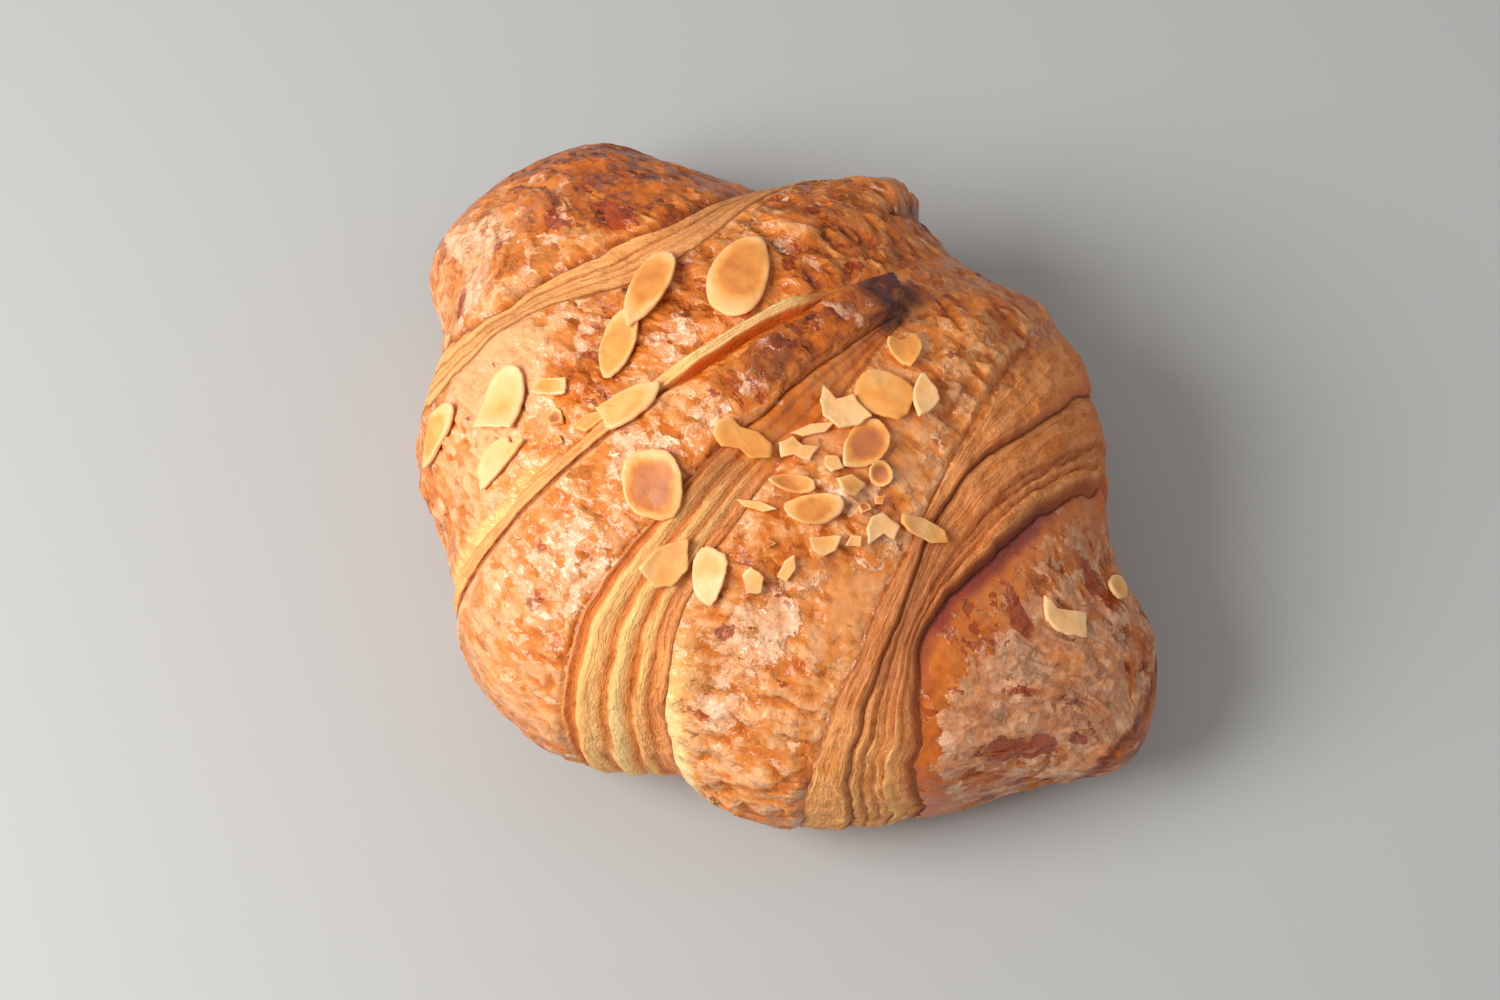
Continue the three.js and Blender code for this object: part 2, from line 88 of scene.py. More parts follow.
# where each dough edge crosses the loaf: its X at angles round it, 0 back, 90 top, 180 front, 270 below
edgeAngles = [0, 30, 55, 80, 105, 130, 155, 180, 225, 270, 315]
doughEdges = {
    "leftLobeCrease": [-34, -33, -36, -43.5, -49.5, -55, -59, -60, -55, -46, -38],
    "middleSkinLeft": [-27, -27, -28.5, -31.5, -44.5, -49, -52.5, -53, -47, -38, -31],
    "flapFootLeft": [4, 2, -2, -11.8, -19, -23, -26.5, -28, -27, -18, -4],
    "flapSkinLeft": [6, 4, -0.5, -8.8, -15.5, -20.3, -23, -24, -23, -14, -1],
    "flapSkinRight": [9, 8, 6.2, 2.2, -0.5, -1.5, 2.5, 6, 8, 6, 6],
    "flapFootRight": [12, 10, 7.2, 8.8, 9, 12, 18, 22, 22, 18, 14],
    "middleSkinRight": [24, 22.5, 24.5, 29, 34.5, 39, 42, 43, 40, 34, 28],
    "cutStripStart": [34, 34.5, 34, 32, 38, 43.5, 47.3, 49, 46, 40, 36],
    "rightLobeCrease": [48, 47, 45, 43, 43, 51, 55, 57, 54, 48, 46],
    "rightLobeEnd": [69, 71.5, 74.5, 75.5, 75.5, 75, 74.5, 73.5, 71.5, 69, 67],
}
edgeWobble = [0.7, 0.5, 0.5, 0.35, 0.4, 0.5, 0.4, 0.4, 0.7, 0.3]

# browned, burnt and filmed places, the film partly a painted reflection: X, angle, reach along X, reach round
# the loaf (mm), amount
patches = {
    "brown": [
        (-57, 82, 4, 4, 1.1), (-47, 68, 5, 5, 1.5), (-42, 58, 6, 6, 0.6), (-61, 132, 2.5, 3, 1.2),
        (-61, 109, 3, 3, 0.9), (-52, 46, 16, 9, 0.4), (-12, 64, 9, 5, 0.7), (-8, 52, 10, 6, 0.6),
        (-22, 52, 8, 5, 0.6), (-24, 105, 4, 4, 0.8), (-29, 106, 4, 4, 0.7), (60, 106, 2.4, 2.4, 1.8),
        (61.5, 134, 3.2, 6, 1.7), (65, 138, 3.4, 8, 1.8), (50.5, 112, 3.2, 22, 0.55), (53, 84, 5, 3.5, 1.5),
        (58, 51, 6, 4, 1.3), (63, 63, 2.5, 3, 1.4), (72, 124, 3, 8, 0.8), (67, 108, 2.4, 2.4, 1.2),
        (17, 111, 4, 4, 0.6), (2, 102, 4, 8, 0.8), (48, 95, 5, 20, 0.7), (-3, 84, 6, 9, 0.55),
        (8, 52, 7, 6, 0.5), (-28, 92, 12, 9, 0.5), (-20, 78, 10, 7, 0.4),
    ],
    "burnt": [
        (4, 58.5, 5.5, 6, 1.0), (-1, 64, 4, 5, 0.5), (-3, 82, 5, 6, 0.5), (67, 108, 2, 2, 0.9),
        (43, 72, 3, 18, 0.6),
    ],
    # pale glaze film, partly a painted reflection
    "film": [
        (-65, 119, 12, 14, 1.0), (-50, 94, 8, 8, 0.6), (-55, 76, 10, 8, 0.5), (-34, 99, 9, 7, 0.6),
        (-19, 89, 6, 5, 0.6), (-10, 132, 10, 14, 0.8), (-10, 108, 6, 6, 0.8), (23, 124, 7, 13, 1.0),
        (25, 142, 8, 10, 0.75), (25, 86, 6, 8, 0.6), (15, 53, 7, 6, 0.5), (58, 92, 14, 14, 1.3),
        (60, 116, 11, 20, 1.4), (74, 125, 2.5, 30, 1.0), (68, 92, 10, 18, 1.0), (58, 140, 5, 8, 1.2),
        (-5, 92, 4, 6, 0.6), (23, 94, 4, 5, 1.0), (-38, 118, 8, 9, 0.6), (3, 68, 8, 8, 0.2),
    ],
    "golden": [
        (32, 165, 12, 12, 0.8), (25, 160, 10, 10, 0.9), (-34, 135, 16, 16, 0.5), (-20, 96, 14, 8, 0.5),
        (0, 160, 20, 12, 0.5), (-43, 120, 15, 15, 1.3), (-20, 148, 12, 14, 0.6), (-64, 118, 10, 14, 0.5),
    ],
    "smooth": [(-46, 122, 11, 14, 0.45), (31, 112, 4, 10, 1.0), (49, 100, 5, 26, 0.8), (18, 85, 10, 8, 0.6)],
    "rough": [
        (-60, 90, 14, 26, 0.3), (23, 95, 5, 6, 1.6), (-20, 50, 22, 16, 1.0), (-3, 84, 8, 12, 0.8),
        (22, 138, 10, 22, 1.0), (-10, 135, 9, 16, 0.6),
    ],
}
# loose flakes of skin: X, angle, half sizes, height (mm)
peels = [
    (15, 53, 4.5, 4, 0.7), (26, 66, 3, 6, 0.4), (-8, 96, 3.5, 5, 0.6),
    (58, 128, 5, 7, 0.4), (-61, 84, 5, 4, 0.5),
]


def smooth(start, end, value):
    t = np.clip((value - start) / (end - start), 0, 1)
    return t * t * (3 - 2 * t)


def curveThrough(at, places, values):
    places = np.asarray(places, float)
    values = np.asarray(values, float)
    slopes = np.empty_like(values)
    slopes[1:-1] = (values[2:] - values[:-2]) / (places[2:] - places[:-2])
    slopes[0] = (values[1] - values[0]) / (places[1] - places[0])
    slopes[-1] = (values[-1] - values[-2]) / (places[-1] - places[-2])
    i = np.clip(np.searchsorted(places, at, side="right") - 1, 0, len(places) - 2)
    step = places[i + 1] - places[i]
    u = (at - places[i]) / step
    start = (2 * u**3 - 3 * u * u + 1) * values[i] + (u**3 - 2 * u * u + u) * step * slopes[i]
    end = (3 * u * u - 2 * u**3) * values[i + 1] + (u**3 - u * u) * step * slopes[i + 1]
    return start + end


def lattice(ix, iy, iz, seed):
    n = (ix * 374761393 + iy * 668265263 + iz * 1440662683 + seed * 974711) & 0xFFFFFFFF
    n = ((n ^ (n >> 13)) * 1274126177) & 0xFFFFFFFF
    return ((n ^ (n >> 16)) & 0xFFFF) / 32767.5 - 1


def wander(places, size, seed):
    # smooth random values from -1 to 1, one lump per "size"
    q = places / size
    i = np.floor(q).astype(np.int64)
    f = q - i
    f = f * f * (3 - 2 * f)
    total = 0
    for dx in (0, 1):
        for dy in (0, 1):
            for dz in (0, 1):
                weight = np.abs(1 - dx - f[..., 0]) * np.abs(1 - dy - f[..., 1]) * np.abs(1 - dz - f[..., 2])
                total = total + weight * lattice(i[..., 0] + dx, i[..., 1] + dy, i[..., 2] + dz, seed)
    return total


def edgePlaces(angle, wobble=True):
    angles = [-90, -45] + edgeAngles + [360, 390]
    rows = [np.full_like(angle, -loaf["halfLength"])]
    for number, row in enumerate(doughEdges.values()):
        place = curveThrough(angle, angles, row[-2:] + row + row[:2])
        if wobble:
            ring = np.stack([60 * np.cos(np.radians(angle)), 60 * np.sin(np.radians(angle)), 0 * angle], -1)
            wave = wander(ring, 9, number) + 0.35 * wander(ring, 3, number + 40)
            place = place + edgeWobble[number] * wave
        rows.append(place)
    rows.append(np.full_like(angle, loaf["halfLength"]))
    return np.array(rows)


def plainLoaf(x, angle, out):
    q = x / loaf["halfLength"]
    closing = np.sqrt(np.clip(1 - q * q, 0, 1))
    c, s = np.cos(np.radians(angle)), np.sin(np.radians(angle))
    power = np.where(s > 0, loaf["roundTop"], loaf["roundBelow"])
    reach = (np.abs(c) ** power + np.abs(s) ** power) ** (-1 / power)
    waist = curveThrough(x, loaf["heightStations"], loaf["waist"])
    below = np.minimum(1.22 * waist / np.maximum(closing, 0.35), 1.6 * waist)
    height = np.where(s > 0, curveThrough(x, loaf["heightStations"], loaf["crown"]), below)
    y = curveThrough(x, loaf["stations"], loaf["halfWidth"]) * closing * reach * c
    z = height * closing * reach * s
    radius = np.hypot(y, z) + 1e-6
    grow = 1 + out / np.maximum(radius, 1) * np.minimum(1, radius / 8)
    spine = loaf["shiftY"] + curveThrough(x, loaf["stations"], loaf["spineY"])
    return np.stack([x, spine + y * grow, np.maximum(0, waist + z * grow)], -1)


def facets(places, size, seed):
    # flat chips of crust, each tilted its own way and standing a little proud or low
    q = places / size
    home = np.floor(q).astype(np.int64)
    nearest = np.full(q.shape[:-1], 9.0)
    height = np.zeros_like(nearest)
    for offset in np.ndindex(3, 3, 3):
        cell = home + np.array(offset) - 1
        draws = [lattice(cell[..., 0], cell[..., 1], cell[..., 2], seed + k) for k in range(7)]
        away = q - cell - 0.5 - 0.42 * np.stack(draws[:3], -1)
        distance = (away**2).sum(-1)
        plane = (away * np.stack(draws[3:6], -1)).sum(-1) + 0.35 * draws[6]
        closer = distance < nearest
        height = np.where(closer, plane, height)
        nearest = np.where(closer, distance, nearest)
    return height


def profile(u, points, wobble):
    # height across a cut face from a few (place, height) points
    places, heights = zip(*points)
    inside = smooth(0, 0.12, u) * smooth(1, 0.88, u)
    return np.interp(u + wobble * inside, places, heights)


def sheets(u, along, count, height, seed):
    # thin dough sheets lying on each other, each with a clear edge
    steady = along * [0, 1, 1]
    shift = 0.3 * wander(steady, 26, seed) + 0.12 * wander(steady, 9, seed + 1)
    v = u * count + shift * smooth(0, 0.15, u) * smooth(1, 0.85, u)
    number = np.floor(v)
    part = v - number
    whole = number.astype(np.int64)
    level = 0.6 + 0.4 * lattice(whole, 0 * whole, 0 * whole, seed)
    edge = smooth(0, 0.2, part) * smooth(1.0, 0.55, part)
    return height * level * (edge - 0.5)


def groove(u, width, place, half, wobble=0.0):
    return np.exp(-(((u + wobble - place) * width / half) ** 2))


def patchMask(name, x, angle, places):
    mask = np.zeros_like(x)
    for px, pa, reachX, reachRound, amount in patches[name]:
        away = np.hypot((x - px) / reachX, np.radians(angle - pa) * arcScale / reachRound)
        away = away + 0.35 * wander(places, 4, 77) + 0.2 * wander(places, 1.8, 78)
        mask = np.maximum(mask, amount * smooth(1.25, 0.45, away))
    return mask


def loafGrid():
    # rings follow the dough edges, columns run round the loaf and are closer together over the top
    turn = np.linspace(0, 360, 3601)
    turned = np.where(turn > 300, turn - 360, turn)
    weight = 0.45 + smooth(-60, -20, turned) * smooth(235, 205, turned)
    total = np.concatenate([[0], np.cumsum((weight[1:] + weight[:-1]) / 2)])
    angles = np.interp(np.arange(loaf["columns"]) / loaf["columns"], total / total[-1], turn)
    edges = edgePlaces(angles)
    rows = [(0, 0.0)]
    last = len(loaf["ringsPerBand"]) - 1
    for band, count in enumerate(loaf["ringsPerBand"]):
        for i in range(1, count + 1):
            t = i / count
            part = 0.45 * t + 0.55 * (0.5 - 0.5 * math.cos(math.pi * t))
            if band == 0:
                part = 0.65 * (1 - math.cos(math.pi / 2 * t)) + 0.35 * t
            if band == last:
                part = math.sin(math.pi / 2 * t)
            rows.append((band, part))
    band = np.array([b for b, _ in rows])[:, None]
    part = np.array([p for _, p in rows])[:, None]
    low, high = edges[band[:, 0]], edges[band[:, 0] + 1]
    x = low + part * (high - low)
    angle = np.broadcast_to(angles, x.shape)
    return band + 0 * x.astype(int), part + 0 * x, x, angle, high - low


def loafRelief(band, u, x, angle, width):
    # how far each point stands out from the plain loaf, with the masks that colour it
    turned = np.where(angle > 300, angle - 360, angle)
    left, right = u * width, (1 - u) * width
    side = smooth(248, 222, turned) * smooth(-52, -25, turned)
    tipAngle = 53.2 + 0.75 * np.clip(x, -1, 8)
    flap = smooth(tipAngle, tipAngle + 1.6, turned) * smooth(238, 205, turned)
    near = smooth(100, 91, turned) * smooth(64, 75, turned) * flap
    front = smooth(85, 120, turned)
    lift = 1.7 + 1.5 * smooth(115, 75, turned)
    corner = 2.4 * smooth(-26, -14, x) * smooth(-10, -12, x)
    peel = corner * smooth(2, 14, turned) * smooth(44, 30, turned)
    plain = side * 0.5 + peel
    body = plainLoaf(x, angle, 0 * x)
    flow = np.stack([u * np.array(loaf["bandWidths"])[band], np.radians(turned) * 46, 20.0 * band], -1)
    along = flow * [1, 0.1, 1]
    steady = flow * [0, 1, 1]
    wobble = 0.05 * wander(steady, 26, 71) + 0.012 * wander(steady, 9, 72)

    # skin: wrinkled across the loaf, with flakes of pale film, partly a painted reflection, and darker torn
    # places
    calm = 1 - 0.85 * patchMask("smooth", x, angle, body)
    calm = np.where(band == fan, calm * (1 - 0.6 * flap * smooth(110, 90, turned)), calm)
    calm = np.where(band == leftLayers, 0.35, np.where(band == flapFoot, 0.6, calm))
    rough = patchMask("rough", x, angle, body)
    stretched = body * [0.55, 1.0, 0.8] + 1.2 * np.stack([wander(body, 9, 60 + i) for i in range(3)], -1)
    warped = stretched + 0.8 * np.stack([wander(body, 2.4, 80 + i) for i in range(3)], -1)
    skin = 0.5 * wander(stretched, 7, 1) + 0.85 * facets(warped, 4.4, 100) + 0.7 * facets(warped, 2.5, 110)
    skin = skin * (0.75 + 0.4 * rough) * (1 + 0.35 * (band == rightLobe))
    golden = patchMask("golden", x, angle, body)
    skin = skin + 1.1 * facets(warped, 6.5, 120) * golden * (band == middleRight)
    edgeFade = smooth(0, 1.4, np.minimum(left, right))
    skin = skin * (1 - 0.42 * (band == leftLobe))
    flatter = 0.6 * (band == middleRight) * smooth(6, 2.5, left) * smooth(125, 150, turned)
    skin = skin * calm * edgeFade * (1 - flatter)
    grain = 0.1 * wander(along, 0.9, 13) + 0.14 * wander(body, 1.1, 14)
    grain = grain + 0.3 * wander(along, 4, 15) + 0.3 * wander(body, 5, 16)

    made = {name: np.zeros_like(x) for name in ("out", "cut", "line", "pale", "deepColour")}

    def fill(number, **values):
        for name, value in values.items():
            made[name] = np.where(band == number, value, made[name])

    def lines(*rows):
        # dark lines along a band: amount, place across it, half width (mm), then 0 if it runs straight
        total = 0
        for amount, place, half, *straight in rows:
            total = total + amount * groove(u, width, place, half, 0 if straight else wobble)
        return total

    fill(leftLobe, out=side * (0.6 * np.sin(np.pi * u) - 1.9 * np.exp(-right / 2.2)) + skin)

    # three sandy sheets on the left, from the lobe crease up to the middle skin
    levels = [
        (0, -2.2), (0.05, -1.6), (0.1, -0.5), (0.34, -0.2), (0.37, -0.5), (0.41, 0.2), (0.66, 0.5),
        (0.69, 0.2), (0.73, 0.8), (1, 1.1),
    ]
    fill(
        leftLayers, cut=1, pale=0.35 + 0.3 * front,
        out=side * (profile(u, levels, wobble) + grain + sheets(u, flow, 9, 0.2, 33)),
        line=lines((0.8, 0.37, 0.4), (0.7, 0.70, 0.35), (0.5, 0.53, 0.3)),
    )

    top = side * (1.2 - 0.8 * np.exp(-left / 0.45) - 0.7 * smooth(0.1, 0.8, u))
    lip = smooth(3.2, 1.0, right + wander(body, 3, 74)) * smooth(112, 135, turned) * 0.9
    fill(middleLeft, out=top + peel - flap * np.exp(-right / 1.5) + skin, pale=lip)

    # the flap's foot: three raised bright strands with a gap behind them near the tip
    strands = groove(u, 1, 0.22, 0.12) + 1.15 * groove(u, 1, 0.5, 0.11, 0.6 * wobble)
    strands = strands + 0.8 * groove(u, 1, 0.76, 0.07)
    rise = -0.5 + (1.5 + 1.9 * near) * smooth(0, 0.35, u) + (0.3 + 0.9 * near) * strands
    rise = rise - (0.5 + 2.1 * near) * smooth(0.84, 0.98, u)
    fill(
        flapFoot, cut=flap, line=flap * (1 - near) * lines((1, 0.9, 0.28), (0.4, 0.45, 0.2)),
        out=flap * (rise + 0.6 * grain) + (1 - flap) * (plain + skin),
        pale=flap * (0.5 + 0.8 * near) * smooth(0.9, 0.8, u) * smooth(62, 74, turned),
    )

    dip = (0.7 + 1.7 * near) * np.exp(-((left / (0.5 + 0.8 * near)) ** 2))
    dip = dip + 0.6 * np.exp(-((right / 0.6) ** 2))
    crown = np.sin(np.pi * u) + (1 - (2 * u - 1) ** 4 - np.sin(np.pi * u)) * smooth(80, 62, turned)
    flapSkin = lift + (0.7 + 0.7 * smooth(95, 65, turned)) * crown - dip
    wrinkles = skin * (0.7 - 0.15 * flap * smooth(100, 85, turned))
    fill(flapTop, out=flap * flapSkin + (1 - flap) * plain + wrinkles)

    # the fan: a deep groove, then flat yellow ridges of different widths; a brown strip of skin above it
    levels = [
        (0, 1.5), (0.02, 0.2), (0.05, -1.6), (0.1, -1.4), (0.14, 0.4), (0.16, 0.9), (0.2, 1.0),
        (0.215, 0.5), (0.23, 1.0), (0.265, 1.0), (0.275, 0.6), (0.29, 0.9), (0.32, 0.7), (0.35, -0.6),
        (0.42, -0.8), (0.45, 0.5), (0.47, 0.9), (0.56, 0.9), (0.59, 0.6), (0.61, -0.7), (0.65, -0.8),
        (0.67, 0.5), (0.7, 0.9), (0.715, 0.4), (0.73, 0.8), (0.77, 0.6), (0.79, -0.6), (0.95, -0.7),
        (1, -0.2),
    ]
    shape = profile(u, levels, wobble)
    slope = lift * (1 - smooth(0, 1, u**1.1)) - 0.9 * u
    upper = 0.6 + 0.45 * lift * smooth(0.7, 0, u) - 1.1 * np.exp(-left / 0.7) * smooth(105, 90, turned)
    upper = upper + 0.5 * skin
    lower = slope + 0.45 * shape + grain + sheets(u, flow, 17, 0.35, 37)
    backLines = lines((0.9, 0, 0.45, 0), (0.6, 0.98, 0.3, 0), (0.6, 0.32, 0.3), (0.5, 0.66, 0.3))
    frontLines = lines((1, 0.215, 0.18), (0.8, 0.275, 0.18), (0.8, 0.715, 0.18), (1, 0.785, 0.25))
    # painted shade: saturated red in the fan's deep groove and in a lower groove
    red = groove(u, 1, 0.07, 0.045) + 0.6 * groove(u, 1, 0.63, 0.03)
    fill(
        fan, cut=flap * smooth(90, 108, turned), deepColour=flap * front * red,
        out=flap * (upper + (lower - upper) * front) + (1 - flap) * (plain + skin),
        line=flap * (backLines + (0.55 * frontLines - backLines) * front),
        pale=flap * front * smooth(-0.6, 0.4, shape) * (0.95 + 0.4 * wander(along, 2.2, 38)),
    )

    top = side * (0.9 - 0.6 * np.exp(-((right / 0.4) ** 2)) - 0.3 * smooth(0.5, 0, u))
    top = top - flap * front * 1.2 * np.exp(-left / 2.0)
    fromCrack = x - 22 - 0.28 * (turned - 65) + 0.5 * wander(body, 3, 70)
    crack = np.exp(-((fromCrack / 0.4) ** 2)) * smooth(61, 65, turned) * smooth(77, 72, turned)
    creamy = 1.35 * smooth(5.2, 1.8, left + 1.8 * wander(body, 3, 73)) * smooth(125, 155, turned)
    fill(middleRight, out=top + skin, line=0.6 * crack, pale=creamy)

    # reddish sandy ridge beside the middle skin, then the broad strip down to the right lobe
    levels = [(0, 0.2), (0.08, 0.1), (0.2, 0.3), (0.55, 0.4), (0.92, 0.5), (0.97, 0.3), (1, -0.1)]
    layered = sheets(u, flow, 7, 0.35, 41) * smooth(0.1, 0.5, u + front)
    fill(
        ridgeLayers, pale=0.4 * smooth(120, 145, turned),
        out=side * (0.3 + (profile(u, levels, wobble) + grain + layered + 0.4 * skin)),
        line=lines((0.6, 0.04, 0.3, 0), (0.9, 1, 0.35, 0)),
        cut=smooth(0.05, 0.4, u + 0.12 * wander(body, 3, 42)) * (1 - front) + 0.95 * front,
        # painted shade: saturated red towards the crease on the back
        deepColour=0.6 * smooth(0.7, 0.95, u) * (1 - front),
    )

    backLevels = [
        (0, -0.2), (0.03, 0.0), (0.1, 0.3), (0.34, 0.7), (0.52, 0.6), (0.56, 0.3), (0.58, 0.5), (0.61, 0.5),
        (0.63, 0.1), (0.66, 0.4), (0.72, 0.2), (0.76, 0.0), (0.8, 0.6), (0.9, 0.9), (0.95, 0.6), (1, -0.8),
    ]
    frontLevels = [
        (0, 0.1), (0.03, 0.2), (0.1, 0.3), (0.22, 0.3), (0.25, 0.1), (0.28, 0.3), (0.40, 0.3), (0.43, 0.15),
        (0.46, 0.3), (0.56, 0.3), (0.6, 0.15), (0.63, 0.5), (0.70, 0.5), (0.73, -0.2), (0.9, -0.4), (1, -0.8),
    ]
    backPart, frontPart = profile(u, backLevels, wobble), profile(u, frontLevels, wobble)
    strip = backPart + (frontPart - backPart) * front + 1.2 * grain
    strip = strip + sheets(u, flow, 17, 0.3 - 0.1 * front, 45)
    backLines = lines((1.3, 0.56, 0.28), (1.3, 0.635, 0.25), (1, 0.76, 0.25))
    frontLines = lines((1, 0.25, 0.3), (0.7, 0.43, 0.22), (0.8, 0.6, 0.22))
    scored = lines((0.9, 0, 0.35, 0)) + backLines + (frontLines - backLines) * front
    # partly painted light: the shaded back made a little paler, and the raised lip by the crease paler,
    # partly its own pale tone, partly a painted highlight
    backPaleAndHighlight = (0.1 + 0.4 * groove(u, 1, 0.87, 0.05)) * smooth(100, 80, turned)
    frontPale = front * smooth(115, 140, turned) * (0.35 + 0.6 * groove(u, 1, 0.665, 0.03))
    fill(
        cutStrip, cut=1, out=side * (strip - 0.3), pale=backPaleAndHighlight + frontPale,
        line=scored + lines((1.2, 1, 0.5, 0)),
        # painted shade: saturated red by the crease and over the shaded back
        deepColour=np.maximum(0.8 * smooth(0.84, 0.96, u), 0.3 * (1 - front)),
    )

    crease = side * (0.6 * np.sin(np.pi * u) - 1.3 * np.exp(-left / 3.0))
    fill(rightLobe, out=crease + 0.7 * skin * smooth(3, 8, left))
    fill(
        rightEnd, out=side * (sheets(u, flow, 5, 0.5, 47) - 0.4) + 0.7 * grain + 0.5 * skin,
        line=lines((1, 0.25, 0.3), (1, 0.6, 0.3)),
    )
    line = made["line"]
    out = made["out"] - 0.3 * np.clip(line, 0, 1) * side

    # loose flakes of skin, and a knob at the back with glossy brown skin round it
    for px, pa, reachX, reachRound, height in peels:
        away = np.hypot((x - px) / reachX, np.radians(turned - pa) * arcScale / reachRound)
        away = away + 0.22 * wander(body, 4, 61)
        out = out + height * smooth(1.0, 0.86, away) * (0.6 + 0.4 * np.clip((x - px) / reachX, -1, 1))
    knob = np.exp(-((x - 49) ** 2 + (np.radians(turned - 28) * 44) ** 2) / 16)
    out = out + 1.3 * knob
    shoulder = 0.55 * smooth(34, 22, turned) * smooth(-20, 0, turned) * smooth(18, 30, x) * smooth(56, 48, x)
    knob = np.maximum(knob, shoulder)

    # dark seams along the dough edges and lines, and the places that colour differently beside them
    onLeft = np.isin(band, (leftLayers, middleLeft, flapTop, middleRight))
    onRight = np.isin(band, (leftLobe, leftLayers, flapFoot, fan, middleRight))
    edges = np.exp(-((left / 0.4) ** 2)) * onLeft + np.exp(-((right / 0.4) ** 2)) * onRight
    edges = edges * np.where(np.isin(band, (flapFoot, flapTop, fan)), flap, 1)
    edges = edges * np.where((band == middleRight) & (u > 0.5), 0.1 + 0.9 * front, 1) * side
    seam = np.clip(np.maximum(edges * 0.7, line), 0, 1) * side
    # painted shade: a band along the right lobe's crease, on the cut strip's edge and the lobe's first few mm
    creaseShade = np.where(band == cutStrip, smooth(0.9, 1, u), 0)
    creaseShade = creaseShade + np.where(band == rightLobe, smooth(8, 5, left + 1.5 * wander(body, 4, 76)), 0)
    plum = 0.8 * (band == cutStrip) * smooth(0.95, 1, u)
    plum = np.where(band == rightLobe, smooth(3.6, 1.8, left + 0.8 * wander(body, 3, 69)), plum)
    plum = plum * smooth(125, 100, turned) * smooth(50, 68, turned)
    # painted glow: bright saturated orange in the shaded gap behind the strands near the flap's tip and along
    # the flap's left edge
    gap = np.where(band == flapFoot, smooth(0.8, 0.95, u), 0)
    gap = gap + np.where(band == flapTop, np.exp(-((left / 1.6) ** 2)), 0)
    onFlap = flap * (band == flapTop)
    marks = {
        "seam": seam, "creaseShade": creaseShade * side, "plum": plum, "gap": gap * near, "knob": knob, "flap": onFlap,
        "pale": made["pale"] * side, "deepColour": made["deepColour"],
        "strip": flap * (band == fan) * (1 - front),
        "tip": onFlap * smooth(68, 59, turned + 3 * wander(body, 3, 79)),
        "calm": calm * smooth(1, 6, left + 100 * (band != rightLobe)),
    }
    return out, made["cut"] * side, flow, body, turned, marks


def spread(values, rings, columns):
    # local average over the grid, wrapped round the loaf
    total = 0
    for step in range(-columns, columns + 1):
        total = total + np.roll(values, step, 1)
    total = total / (2 * columns + 1)
    padded = np.concatenate([total[:1]] * rings + [total] + [total[-1:]] * rings)
    sums = np.cumsum(np.concatenate([0 * padded[:1], padded]), 0)
    return (sums[2 * rings + 1:] - sums[:-2 * rings - 1]) / (2 * rings + 1)


def addAttribute(mesh, name, values):
    values = np.asarray(values, np.float32)
    kind = "FLOAT_VECTOR" if values.ndim == 2 else "FLOAT"
    attribute = mesh.attributes.new(name, kind, "POINT")
    attribute.data.foreach_set("vector" if kind == "FLOAT_VECTOR" else "value", values.ravel())


def newPiece(name, bm, material):
    for face in bm.faces:
        face.smooth = True
    mesh = bpy.data.meshes.new(name)
    bm.to_mesh(mesh)
    bm.free()
    piece = bpy.data.objects.new(name, mesh)
    bpy.context.scene.collection.objects.link(piece)
    mesh.materials.append(material)
    return piece


